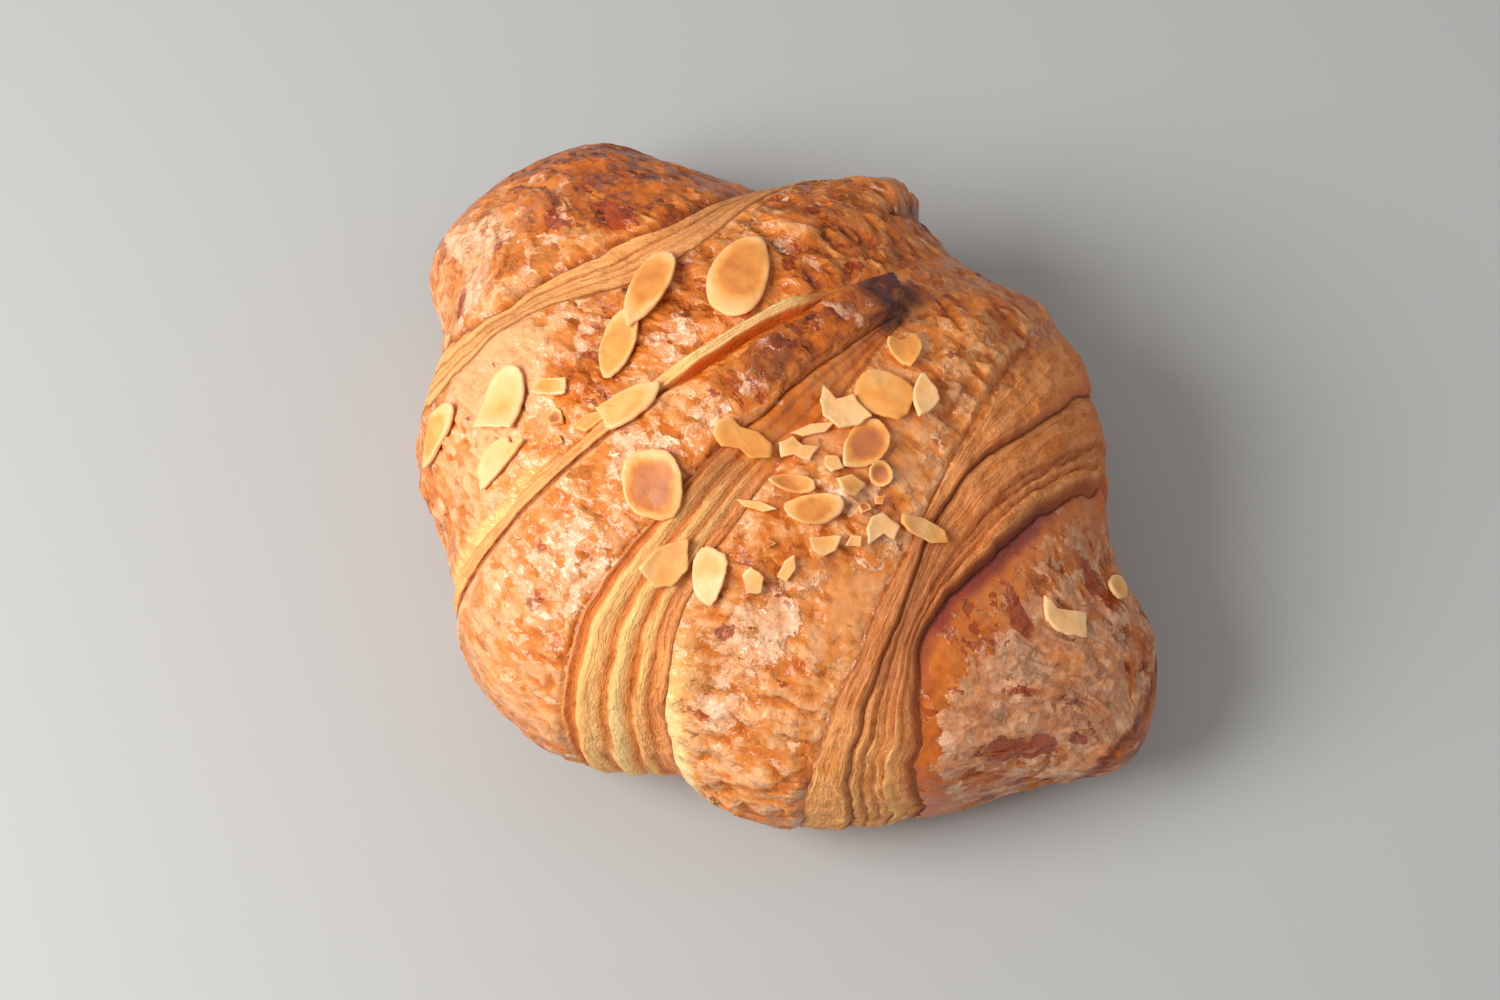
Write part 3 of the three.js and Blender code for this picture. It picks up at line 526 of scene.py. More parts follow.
def makeLoaf(material):
    band, u, x, angle, width = loafGrid()
    out, cut, flow, body, turned, marks = loafRelief(band, u, x, angle, width)
    places = plainLoaf(x, angle, out)
    # painted shade: how far each point sinks below its neighbours, near and wide, used to darken the crust in
    # hollows
    hollow = np.clip((spread(out, 2, 3) - out) / 0.4, -1, 1)
    wideShade = np.clip((spread(out, 8, 11) - out) / 1.5, -1, 1)
    masks = {name: patchMask(name, x, angle, body) for name in patches}
    onLobe = band == leftLobe
    brown = np.maximum.reduce([
        masks["brown"],
        # painted shade: browner along the right lobe's crease, more towards the back
        (0.5 + 0.25 * smooth(130, 85, turned)) * marks["creaseShade"],
        0.55 * (band == fan) * marks["strip"],
        marks["flap"] * smooth(98, 76, turned),
        (0.5 + 0.25 * wander(body, 9, 75)) * smooth(75, 45, turned) * smooth(40, 0, x),
        0.65 * (band == rightLobe) + 0.6 * (band == rightEnd),
        # painted shade: the left lobe browner towards its back
        0.35 * onLobe * smooth(112, 84, turned) + 0.5 * onLobe * smooth(82, 60, turned),
        0.5 * np.isin(band, (ridgeLayers, cutStrip)) * smooth(145, 115, turned) * smooth(78, 95, turned),
    ])
    burnt = masks["burnt"] * np.where(np.isin(band, (flapTop, fan)), 1, 0.5) * (band != flapFoot)
    burnt = np.maximum(burnt, marks["tip"])
    # pale glaze film, partly a painted reflection, also over the whole right lobe
    film = masks["film"] * marks["calm"] + 0.75 * (band == rightLobe) * smooth(0.2, 0.8, marks["calm"])
    torn = np.maximum(masks["brown"], 0.35 * masks["rough"])
    under = smooth(215, 250, turned) + smooth(-25, -50, turned)

    rows = sum(loaf["ringsPerBand"])
    bm = bmesh.new()
    bmesh.ops.create_uvsphere(bm, u_segments=loaf["columns"], v_segments=rows, radius=1)
    ball = np.array([v.co[:] for v in bm.verts])
    row = rows - np.rint(np.arccos(np.clip(ball[:, 2], -1, 1)) / math.pi * rows).astype(int)
    column = np.rint(np.arctan2(ball[:, 1], ball[:, 0]) / (2 * math.pi) * loaf["columns"]).astype(int)
    column = column % loaf["columns"]
    shaped = places[row, column] * mm
    for vertex, place in zip(bm.verts, shaped):
        vertex.co = place
    piece = newPiece("pastryBody", bm, material)
    for name, values in {
        "cutLayer": cut, "hollow": hollow, "wideHollow": wideShade, "brown": brown, "burnt": burnt,
        "golden": masks["golden"], "under": under, "purple": marks["plum"], "flow": flow * mm,
        "pale": marks["pale"], "deepColour": marks["deepColour"], "seam": marks["seam"],
        "gap": marks["gap"], "knob": marks["knob"], "film": film, "torn": torn, "calm": marks["calm"],
    }.items():
        addAttribute(piece.data, name, values[row, column])
    return piece


# shader helpers
def newMaterial(name):
    material = bpy.data.materials.new(name)
    material.use_nodes = True
    tree = material.node_tree
    return material, tree, tree.nodes["Principled BSDF"]


def addNode(tree, kind, inputs=None, **settings):
    node = tree.nodes.new(kind)
    for key, value in settings.items():
        setattr(node, key, value)
    for key, value in (inputs or {}).items():
        if isinstance(value, bpy.types.NodeSocket):
            tree.links.new(value, node.inputs[key])
        else:
            node.inputs[key].default_value = value
    return node


def maths(tree, operation, a, b=0.0, clamp=False):
    return addNode(tree, "ShaderNodeMath", {0: a, 1: b}, operation=operation, use_clamp=clamp).outputs[0]


def vectorMaths(tree, operation, *values):
    return addNode(tree, "ShaderNodeVectorMath", dict(enumerate(values)), operation=operation)


def mixColour(tree, factor, a, b):
    return addNode(tree, "ShaderNodeMix", {0: factor, 6: a, 7: b}, data_type="RGBA").outputs[2]


def noise(tree, vector, scale, detail, rough):
    inputs = {"Vector": vector, "Scale": scale, "Detail": detail, "Roughness": rough}
    return addNode(tree, "ShaderNodeTexNoise", inputs).outputs[0]


def remap(tree, value, low, high, toLow=0.0, toHigh=1.0):
    inputs = {0: value, 1: low, 2: high, 3: toLow, 4: toHigh}
    return addNode(tree, "ShaderNodeMapRange", inputs, interpolation_type="SMOOTHSTEP").outputs[0]


def ramp(tree, factor, stops):
    node = addNode(tree, "ShaderNodeValToRGB", {0: factor})
    while len(node.color_ramp.elements) < len(stops):
        node.color_ramp.elements.new(0.5)
    for element, (place, colour) in zip(node.color_ramp.elements, stops):
        element.position = place
        element.color = (*colour, 1)
    return node.outputs[0]


def attributes(tree, names, output=2):
    sockets = []
    for name in names.split():
        node = addNode(tree, "ShaderNodeAttribute", attribute_name=name, attribute_type="GEOMETRY")
        sockets.append(node.outputs[output])
    return sockets


def chips(tree, vector, scale):
    # per chip: three random values, then a height that tilts each chip its own way
    cells = addNode(tree, "ShaderNodeTexVoronoi", {"Vector": vector, "Scale": scale})
    red, green, blue = addNode(tree, "ShaderNodeSeparateColor", {0: cells.outputs["Color"]}).outputs
    tilt = vectorMaths(tree, "SUBTRACT", cells.outputs["Color"], (0.5, 0.5, 0.5)).outputs[0]
    away = vectorMaths(tree, "SUBTRACT", vector, cells.outputs["Position"]).outputs[0]
    lean = vectorMaths(tree, "DOT_PRODUCT", away, tilt).outputs[1]
    lean = maths(tree, "ADD", maths(tree, "MULTIPLY", lean, scale), maths(tree, "MULTIPLY", green, 0.25))
    return red, green, blue, lean


def shortNames(tree):
    # add, minus, times, mix and fit, each tied to one node tree
    sums = [partial(maths, tree, kind) for kind in ("ADD", "SUBTRACT", "MULTIPLY")]
    return *sums, partial(mixColour, tree), partial(remap, tree)


crustLook = {
    "skinPale": (0.89, 0.43, 0.19),
    "skinGold": (0.73, 0.243, 0.047),
    "skinOrange": (0.59, 0.138, 0.009),
    "skinBrown": (0.33, 0.06, 0.005),
    "skinDark": (0.13, 0.022, 0.006),
    # film colours: partly a painted reflection, the lighter one a painted highlight
    "film": (0.8, 0.37, 0.17),
    "filmHighlight": (0.92, 0.57, 0.36),
    "brownFilmAndSheen": (0.55, 0.21, 0.085),
    "torn": (0.4, 0.052, 0.008),
    "cutTan": (0.92, 0.35, 0.105),
    "cutPale": (1, 0.56, 0.18),
    "cutOrange": (0.74, 0.21, 0.022),
    # painted shade colour for grooves, creases and the shaded back
    "cutShadeRed": (0.56, 0.12, 0.02),
    "cream": (1, 0.7, 0.32),
    "seam": (0.31, 0.058, 0.009),
    # painted glow colour for the shaded gap by the flap
    "gap": (0.8, 0.2, 0.013),
    "knob": (0.58, 0.11, 0.012),
    "purple": (0.3, 0.045, 0.022),
    "burnt": (0.1, 0.024, 0.018),
    "base": (0.48, 0.19, 0.055),
}
crustScales = {
    "mottle": 170, "fleck": 620, "broad": 30, "grain": 1500, "soft": 330, "ragged": 300,
    "bend": 380, "largeChips": 300, "smallChips": 620, "striae": 900, "crumb": 800,
}


def crustMaterial():
    material, tree, shader = newMaterial("bakedCrust")
    add, minus, times, mix, fit = shortNames(tree)
    look = {name: (*colour, 1) for name, colour in crustLook.items()}
    place = addNode(tree, "ShaderNodeTexCoord").outputs["Object"]
    flow = attributes(tree, "flow", 1)[0]
    cut, hollow, wideShade = attributes(tree, "cutLayer hollow wideHollow")
    brown, burnt, golden = attributes(tree, "brown burnt golden")
    under, pale, deepColour = attributes(tree, "under pale deepColour")
    seam, gap, knob, purple = attributes(tree, "seam gap knob purple")
    film, torn, calm = attributes(tree, "film torn calm")
    mottle = noise(tree, place, crustScales["mottle"], 5, 0.62)
    fleck = noise(tree, place, crustScales["fleck"], 4, 0.65)
    broad = noise(tree, place, crustScales["broad"], 3, 0.5)
    grain = noise(tree, place, crustScales["grain"], 2, 0.6)
    isCut = fit(cut, 0.3, 0.7)

    # flat tilted chips of glaze, large and small, with bent edges
    bend = {"Vector": place, "Scale": crustScales["bend"], "Detail": 3}
    bent = addNode(tree, "ShaderNodeTexNoise", bend).outputs[1]
    bent = vectorMaths(tree, "SUBTRACT", bent, (0.5, 0.5, 0.5)).outputs[0]
    bent = vectorMaths(tree, "MULTIPLY_ADD", bent, (0.003, 0.003, 0.003), place).outputs[0]
    bent = addNode(tree, "ShaderNodeMapping", {"Vector": bent, "Scale": (0.55, 1.0, 1.0)}).outputs[0]
    large, small = chips(tree, bent, crustScales["largeChips"]), chips(tree, bent, crustScales["smallChips"])

    # glazed skin, from pale gold to dark brown
    heat = addNode(tree, "ShaderNodeMath", {0: broad, 1: 0.45, 2: 0.08}, operation="MULTIPLY_ADD").outputs[0]
    heat = add(heat, times(minus(mottle, 0.5), 0.6))
    heat = add(heat, times(minus(fleck, 0.5), 0.16))
    chipHeat = add(times(large[0], 0.26), times(small[0], 0.24))
    heat = add(heat, times(minus(chipHeat, 0.25), calm))
    # painted shade: the skin darker in hollows
    heat = add(heat, times(hollow, 0.2))
    heat = add(heat, times(brown, 0.4))
    heat = minus(heat, times(golden, 0.25), clamp=True)
    skin = ramp(tree, heat, [
        (0.04, crustLook["skinPale"]), (0.30, crustLook["skinGold"]), (0.55, crustLook["skinOrange"]),
        (0.80, crustLook["skinBrown"]), (1.0, crustLook["skinDark"]),
    ])
    # pale film patches: partly a whitish glaze film, partly a painted reflection of the light
    filmAndSheenChip = add(times(large[1], 0.35), times(small[1], 0.3))
    filmAndSheenChip = add(filmAndSheenChip, times(mottle, 0.8))
    filmAndSheenChip = add(filmAndSheenChip, times(minus(film, 1.0), 0.42))
    isFilmAndSheen = fit(add(filmAndSheenChip, times(fleck, 0.45)), 0.76, 0.90)
    ragged = noise(tree, bent, crustScales["ragged"], 4, 0.6)
    tornChip = add(times(large[2], 0.25), times(small[2], 0.4))
    tornChip = add(tornChip, times(ragged, 0.9))
    tornChip = add(tornChip, times(minus(torn, 1.0), 0.36))
    isTorn = fit(add(tornChip, times(fleck, 0.25)), 0.87, 0.97)
    filmTone = add(times(ragged, 0.6), times(fleck, 0.6))
    # painted highlight: the film lighter in streaks
    filmAndSheenColour = mix(fit(filmTone, 0.50, 0.68), look["film"], look["filmHighlight"])
    browning = times(brown, fit(filmTone, 0.55, 0.75, 0.85, 0.3), clamp=True)
    filmAndSheenColour = mix(browning, filmAndSheenColour, look["brownFilmAndSheen"])
    skin = mix(times(isFilmAndSheen, fit(mottle, 0.35, 0.6, 0.4, 0.92)), skin, filmAndSheenColour)
    skin = mix(times(isTorn, 0.85), skin, look["torn"])
    skin = mix(times(pale, 0.95, clamp=True), skin, look["cutPale"])
    skin = mix(fit(pale, 0.9, 1.3, 0.0, 0.8), skin, look["cream"])

    # matte cut layers: sandy grains and fine striae
    stretched = addNode(tree, "ShaderNodeMapping", {"Vector": flow, "Scale": (1.0, 0.09, 1.0)}).outputs[0]
    striae = noise(tree, stretched, crustScales["striae"], 4, 0.65)
    layers = fit(striae, 0.50, 0.60)
    crumbly = addNode(tree, "ShaderNodeMapping", {"Vector": flow, "Scale": (1.0, 0.3, 1.0)}).outputs[0]
    crumb = noise(tree, crumbly, crustScales["crumb"], 4, 0.65)
    sheet = mix(pale, look["cutTan"], look["cutPale"])
    sheet = mix(fit(pale, 0.9, 1.3, 0.0, 0.6), sheet, look["cream"])
    # painted shade: saturated red in grooves, by creases and on the shaded back
    sheet = mix(deepColour, sheet, look["cutShadeRed"])
    keep = fit(pale, 0.2, 1.0, 1.0, 0.15)
    sheet = mix(times(times(layers, 0.65), times(keep, calm)), sheet, look["cutOrange"])
    # painted shade: the cut layers deep orange in hollows
    recessShade = add(times(hollow, 0.8), times(wideShade, 0.3), clamp=True)
    sheet = mix(times(recessShade, 0.9), sheet, look["cutOrange"])
    sheet = mix(times(brown, 0.6), sheet, look["skinBrown"])
    sheet = mix(times(fit(crumb, 0.50, 0.68, 0.0, 0.45), keep), sheet, look["skinBrown"])
    sheet = mix(times(fit(mottle, 0.45, 0.72, 0.0, 0.5), keep), sheet, look["skinOrange"])
    colour = mix(isCut, skin, sheet)
    colour = mix(times(seam, fit(fleck, 0.35, 0.6, 0.95, 0.55)), colour, look["seam"])
    colour = mix(purple, colour, look["purple"])
    # painted glow in the shaded gap by the flap
    colour = mix(gap, colour, look["gap"])
    colour = mix(knob, colour, look["knob"])
    colour = mix(times(burnt, fit(mottle, 0.35, 0.55, 0.45, 1.0)), colour, look["burnt"])
    colour = mix(times(under, 0.7), colour, look["base"])
    tree.links.new(colour, shader.inputs["Base Color"])

    rough = fit(mottle, 0.3, 0.7, 0.18, 0.34)
    rough = add(rough, times(isFilmAndSheen, 0.02))
    rough = add(rough, times(isCut, 0.42))
    rough = add(rough, times(under, 0.3), clamp=True)
    tree.links.new(rough, shader.inputs["Roughness"])

    soft = noise(tree, place, crustScales["soft"], 1, 0.5)
    wrinkle = add(times(large[3], 1.5), times(small[3], 1.1))
    wrinkle = add(times(wrinkle, calm), times(soft, 0.7))
    wrinkle = add(wrinkle, times(isFilmAndSheen, 0.25))
    wrinkle = minus(wrinkle, times(isTorn, 0.25))
    wrinkle = add(wrinkle, times(fleck, 0.15))
    layered = add(times(striae, 0.8), times(crumb, 0.8))
    layered = minus(layered, times(times(layers, 0.3), calm))
    layered = add(layered, times(grain, 0.25))
    height = addNode(tree, "ShaderNodeMix", {0: isCut, 2: wrinkle, 3: layered}, data_type="FLOAT").outputs[0]
    bump = addNode(tree, "ShaderNodeBump", {"Height": height, "Strength": 1.0, "Distance": 0.0009})
    tree.links.new(bump.outputs[0], shader.inputs["Normal"])
    shader.inputs["Subsurface Weight"].default_value = 0.2
    shader.inputs["Subsurface Radius"].default_value = (1.0, 0.4, 0.12)
    shader.inputs["Subsurface Scale"].default_value = 0.0025
    return material


# toasted almonds: turn on the crust, rounding passes, colour, curl, middle of the dark core, outline in mm
almonds = {
    "almond_slice_1": {"turn": 120, "rounding": 2, "toast": 0.6, "curl": 0.5, "core": (1.8, -1.6), "rim": [
        (9.2, -1.4), (6.8, 2.5), (2.2, 5), (-3.3, 5.3), (-7.3, 3.5), (-9.1, 0.4), (-8.1, -2.9),
        (-4.4, -4.6), (1.1, -5), (5.5, -4.3), (8.6, -2.9)]},
    "almond_slice_2": {"turn": 110, "rounding": 2, "toast": 0.64, "lift": 0.7, "curl": 0.6,
                       "core": (1.8, -0.8), "rim": [
        (8.7, 1.1), (7.8, -1.7), (4.2, -3.4), (0, -3.5), (-4.2, -2.5), (-8.8, 0.3), (-8.6, 0.7),
        (-5.3, 2.6), (-1.1, 3.5), (3.2, 3.6), (7, 3)]},
    "almond_slice_3": {"turn": 119, "rounding": 1, "toast": 0.5, "curl": 0.3, "core": (1.5, 0), "rim": [
        (7.4, -1.9), (7.6, 0.6), (5, 2.6), (0.5, 3.2), (-3.2, 2.2), (-6, 0.1), (-3, -2), (1, -3),
        (4.8, -2.8)]},
    "almond_slice_4": {"turn": 105, "rounding": 2, "toast": 0.5, "curl": 0.4, "core": (0, 1), "rim": [
        (6.9, -2.4), (6.4, -0.4), (3, 2.4), (-1.5, 3), (-5, 2.1), (-6.9, 0.6), (-6.7, 0), (-4.5, -1.3),
        (-1, -2.3), (3, -3.1)]},
    "almond_slice_5": {"turn": 129, "rounding": 1, "toast": 0.8, "curl": 0.7, "rim": [
        (6.2, -1.3), (3.2, -4.7), (-3.1, -5), (-6.2, -3.1), (-5.4, 2.6), (-2.6, 4.6), (3.1, 5.3),
        (5.5, 3.4)]},
    "almond_slice_6": {"turn": 85, "rounding": 2, "toast": 0.72, "curl": 0.8, "rim": [
        (4.6, 1.5), (3.9, -1.8), (1.6, -3.6), (-2.2, -3.5), (-5.6, -0.8), (-5.6, -0.2), (-3.7, 2.1),
        (0.2, 3.4), (2.9, 3.2)]},
    "almond_slice_7": {"turn": -130, "rounding": 2, "toast": 0.5, "curl": 0.8, "rim": [
        (5, -1.6), (3, -2.6), (-1, -2.7), (-4.3, -1.9), (-5.1, 0), (-3.4, 1.9), (0.2, 2.9), (3.6, 1.9),
        (5.1, 0)]},
    "almond_half_1": {"turn": 120, "rounding": 1, "toast": 0.2, "curl": 0.4, "rim": [
        (5.9, -0.8), (4.8, 2.2), (1.5, 4.1), (-2.5, 4.6), (-5.6, 4.5), (-5.7, 4.3), (-5.4, -3.9),
        (-5.2, -4.1), (-2, -4.4), (2, -4), (4.9, -2.7)]},
    "almond_half_2": {"turn": 104, "rounding": 1, "toast": 0.15, "curl": 0.3, "rim": [
        (5.5, -3.8), (5.3, -3.2), (3.4, -1.2), (4.7, 0.7), (1.5, 3.3), (-2.5, 3.4), (-5.8, 0.7),
        (-5.6, 0.1), (-2, -1.6), (2, -3.1)]},
    "almond_half_3": {"turn": -161, "rounding": 1, "toast": 0.36, "edge": 0.4, "curl": 0.3, "rim": [
        (5.1, 0.6), (4.4, -2.6), (1.5, -4.3), (-2.6, -4.3), (-4.9, -3), (-5, 3.3), (-1, 4.1),
        (3.2, 3.6)]},
    "almond_half_4": {"turn": 114, "rounding": 1, "toast": 0.25, "curl": 0.4, "rim": [
        (4.7, 0.5), (3.9, 2.5), (0.5, 3), (-3.5, 1.6), (-4.9, -0.5), (-4.7, -2.3), (0, -2.9),
        (3.6, -2.7)]},
    "almond_half_5": {"turn": -133, "toast": 0.08, "curl": 0.5, "rim": [
        (5.4, -4), (2.6, -2), (-3.9, -1.8), (-3.8, 2.4), (0, 2.3), (1.8, 1.8), (4.2, 0)]},
    "almond_half_6": {"turn": 100, "rounding": 1, "toast": 0.3, "curl": 0.2, "rim": [
        (2.9, 0.4), (1.6, 2.1), (-1.5, 2.3), (-2.9, 0.6), (-2, -1.7), (1.6, -2)]},
    "almond_piece_1": {"turn": -149, "toast": 0.42, "curl": 0.1, "rim": [
        (2.9, -1.6), (-2.7, -1.1), (-3.3, 1.5), (0, 1.9), (3.2, 1.5)]},
    "almond_piece_2": {"turn": 156, "toast": 0.7, "curl": 0.1, "rim": [
        (1.7, -0.6), (0.4, -1.4), (-1.6, -0.9), (-1.2, 1.2), (0.9, 1.4)]},
    "almond_piece_3": {"turn": -136, "rounding": 1, "toast": 0.32, "lift": 0.3, "curl": 0.4, "rim": [
        (5.7, -2.8), (5.5, -2.2), (-1.8, -4.3), (-6.5, -3.5), (-6.4, -2.9), (-5.2, 0.6), (0, 3.6),
        (3.4, 3.5), (4.1, 0.5)]},
    "almond_piece_4": {"turn": -122, "toast": 0.35, "curl": 0.1, "rim": [
        (3.2, -0.5), (0, -1.3), (-3, -0.9), (-2.7, 1.1), (1.2, 1.4)]},
    "almond_piece_5": {"turn": -168, "toast": 0.5, "edge": 0.6, "curl": 0.6, "core": (-2.5, 0), "rim": [
        (5.4, -0.6), (3.6, -2.3), (1.4, -1.7), (-1.6, -2.6), (-4.4, -1.8), (-5.4, 0.4), (-2.4, 2.2),
        (-0.4, 1.6), (2.6, 2.7), (4.8, 1.6)]},
    "almond_piece_6": {"turn": 130, "rounding": 1, "toast": 0.42, "edge": 0.7, "curl": 0.7, "rim": [
        (4, -1.7), (1.4, -3.4), (-1.8, -2.2), (-3.8, -0.4), (-0.2, 3.3), (2.2, 2.8), (1.3, 0.2)]},
    "almond_piece_7": {"turn": 117, "rounding": 1, "toast": 0.2, "lift": 0.8, "curl": 0.5, "rim": [
        (3.8, 1.4), (1.3, -2.5), (-1.8, -1.7), (-3.8, 0.1), (-3.7, 0.5), (-0.4, 2.4), (3.2, 2.3)]},
    "almond_piece_8": {"turn": -162, "toast": 0.15, "lift": 0.5, "curl": 0.7, "rim": [
        (4.6, -2.7), (2, -1.4), (-0.4, -3.4), (-4.6, -0.9), (-3, 1.4), (-0.4, 3.3), (2.8, 2.3),
        (4.2, 0)]},
    "almond_piece_9": {"turn": 140, "rounding": 1, "toast": 0.8, "curl": 0.4, "rim": [
        (2.4, -0.6), (0.6, -2.1), (-1.8, -1.6), (-2.4, 0.5), (-0.8, 2.1), (1.6, 1.7)]},
    "almond_piece_10": {"turn": -126, "toast": 0.15, "curl": 0.1, "rim": [
        (4, -0.2), (0.4, -1), (-3.8, -0.5), (-1.6, 0.9), (2, 0.8)]},
    "almond_piece_11": {"turn": -150, "toast": 0.3, "curl": 0.3, "rim": [
        (3.4, -0.4), (1.2, -2), (-0.6, -0.9), (-3.3, -1.3), (-2.2, 1.6), (0.6, 1.1), (2.6, 1.9)]},
    "almond_piece_12": {"turn": 180, "toast": 0.2, "curl": 0.1, "rim": [
        (1.8, -0.3), (0.2, -1.5), (-1.7, -0.5), (-0.8, 1.4), (1, 1.3)]},
    "almond_piece_13": {"turn": -147, "toast": 0.35, "curl": 0.3, "rim": [
        (2.6, -0.6), (0.2, -1.8), (-2.5, -0.7), (-1.2, 1.6), (1.4, 1.5)]},
    "almond_piece_14": {"turn": -153, "rounding": 1, "toast": 0.7, "curl": 0.1, "rim": [
        (4.2, 0.2), (1.2, -1.4), (-3.4, -1.3), (-4.2, 0.5), (-1, 1.6), (2.6, 1.4)]},
    "almond_piece_15": {"turn": -154, "toast": 0.3, "curl": 0, "rim": [
        (3.6, -0.3), (-0.4, -0.8), (-3.5, -0.2), (-1.4, 0.8), (1.8, 0.6)]},
    "almond_piece_16": {"turn": -154, "toast": 0.12, "curl": 0.4, "rim": [
        (0.2, -3), (-2.7, -1.4), (-2.5, 1.1), (-0.6, 0.5), (1.4, 3), (2.5, 0.3), (2.1, -1.4)]},
    "almond_piece_17": {"turn": -147, "toast": 0.32, "edge": 0.5, "curl": 0.2, "rim": [
        (4.3, -0.8), (1, -1.7), (-3.4, -1.3), (-4.4, 0.4), (-2, 1.6), (2.4, 1.5), (4.1, 0.7)]},
    "almond_piece_18": {"turn": -141, "toast": 0.12, "curl": 0.2, "rim": [
        (2.7, -1.4), (-2.7, -1.6), (-1.8, 0.8), (0.3, 1.8), (2, 0.8)]},
    "almond_piece_19": {"turn": -126, "toast": 0.3, "curl": 0.1, "rim": [
        (1.6, 0), (0.2, -1.2), (-1.5, -0.5), (-0.6, 1.1)]},
    "almond_piece_20": {"turn": 61, "toast": 0.27, "edge": 0.5, "curl": 0.2, "rim": [
        (5, 2.4), (4.9, 1.9), (2.9, -2), (-0.6, -3.5), (-3.1, -2.6), (-4.2, 1.1), (-4, 1.5),
        (0.1, 3.3)]},
    "almond_piece_21": {"turn": 136, "toast": 0.15, "curl": 0.1, "rim": [
        (2.6, -0.2), (0.4, -1.8), (-2.4, -1), (-1.7, 1.4), (1.2, 1.5)]},
    "almond_piece_22": {"turn": 100, "toast": 0.2, "curl": 0.1, "rim": [
        (2.5, 0.2), (0.6, -1.1), (-2.2, -0.8), (-2, 0.9), (0.9, 1.2)]},
    "almond_crumb_1": {"turn": 20, "toast": 0.8, "curl": 0.1, "rim": [
        (1.2, 0), (0, -1), (-1.1, -0.3), (-0.5, 0.9), (0.7, 0.8)]},
    "almond_crumb_2": {"turn": 70, "toast": 0.7, "curl": 0.1, "rim": [
        (1.1, 0.2), (0.1, -0.9), (-1, -0.4), (-0.6, 0.8)]},
    "almond_crumb_3": {"turn": 40, "toast": 0.8, "curl": 0.1, "rim": [
        (1.2, -0.1), (0, -0.9), (-1.1, -0.2), (-0.2, 0.9)]},
    "almond_crumb_4": {"turn": 10, "toast": 0.6, "curl": 0.1, "rim": [
        (1.1, 0), (0.1, -0.8), (-1, -0.3), (-0.4, 0.8)]},
}
# how an almond rests on the crust: percentiles of its height below the almond, and the reach allowed (mm)
resting = {"thickness": 0.95, "usual": 60, "below": 1.6, "above": 2.5, "highest": 90}


def almondRim(count, rim, rounding):
    # round the corners, then spread points evenly and keep one on every corner
    points = np.array(rim, float)
    for _ in range(rounding):
        ahead = np.roll(points, -1, 0)
        points = np.stack([0.75 * points + 0.25 * ahead, 0.25 * points + 0.75 * ahead], 1).reshape(-1, 2)
    turn = np.unwrap(np.arctan2(points[:, 1], points[:, 0]))
    if turn[-1] < turn[0]:
        points = points[::-1]
    first = np.argmin(np.abs(np.arctan2(points[:, 1], points[:, 0])))
    points = np.roll(points, -first, 0)
    closed = np.concatenate([points, points[:1]])
    steps = np.concatenate([[0], np.cumsum(np.hypot(*np.diff(closed, axis=0).T))])
    at = np.arange(count) / count * steps[-1]
    if len(points) < count / 2:
        at[np.rint(steps[:-1] / steps[-1] * count).astype(int) % count] = steps[:-1]
    return np.stack([np.interp(at, steps, closed[:, 0]), np.interp(at, steps, closed[:, 1])], -1)


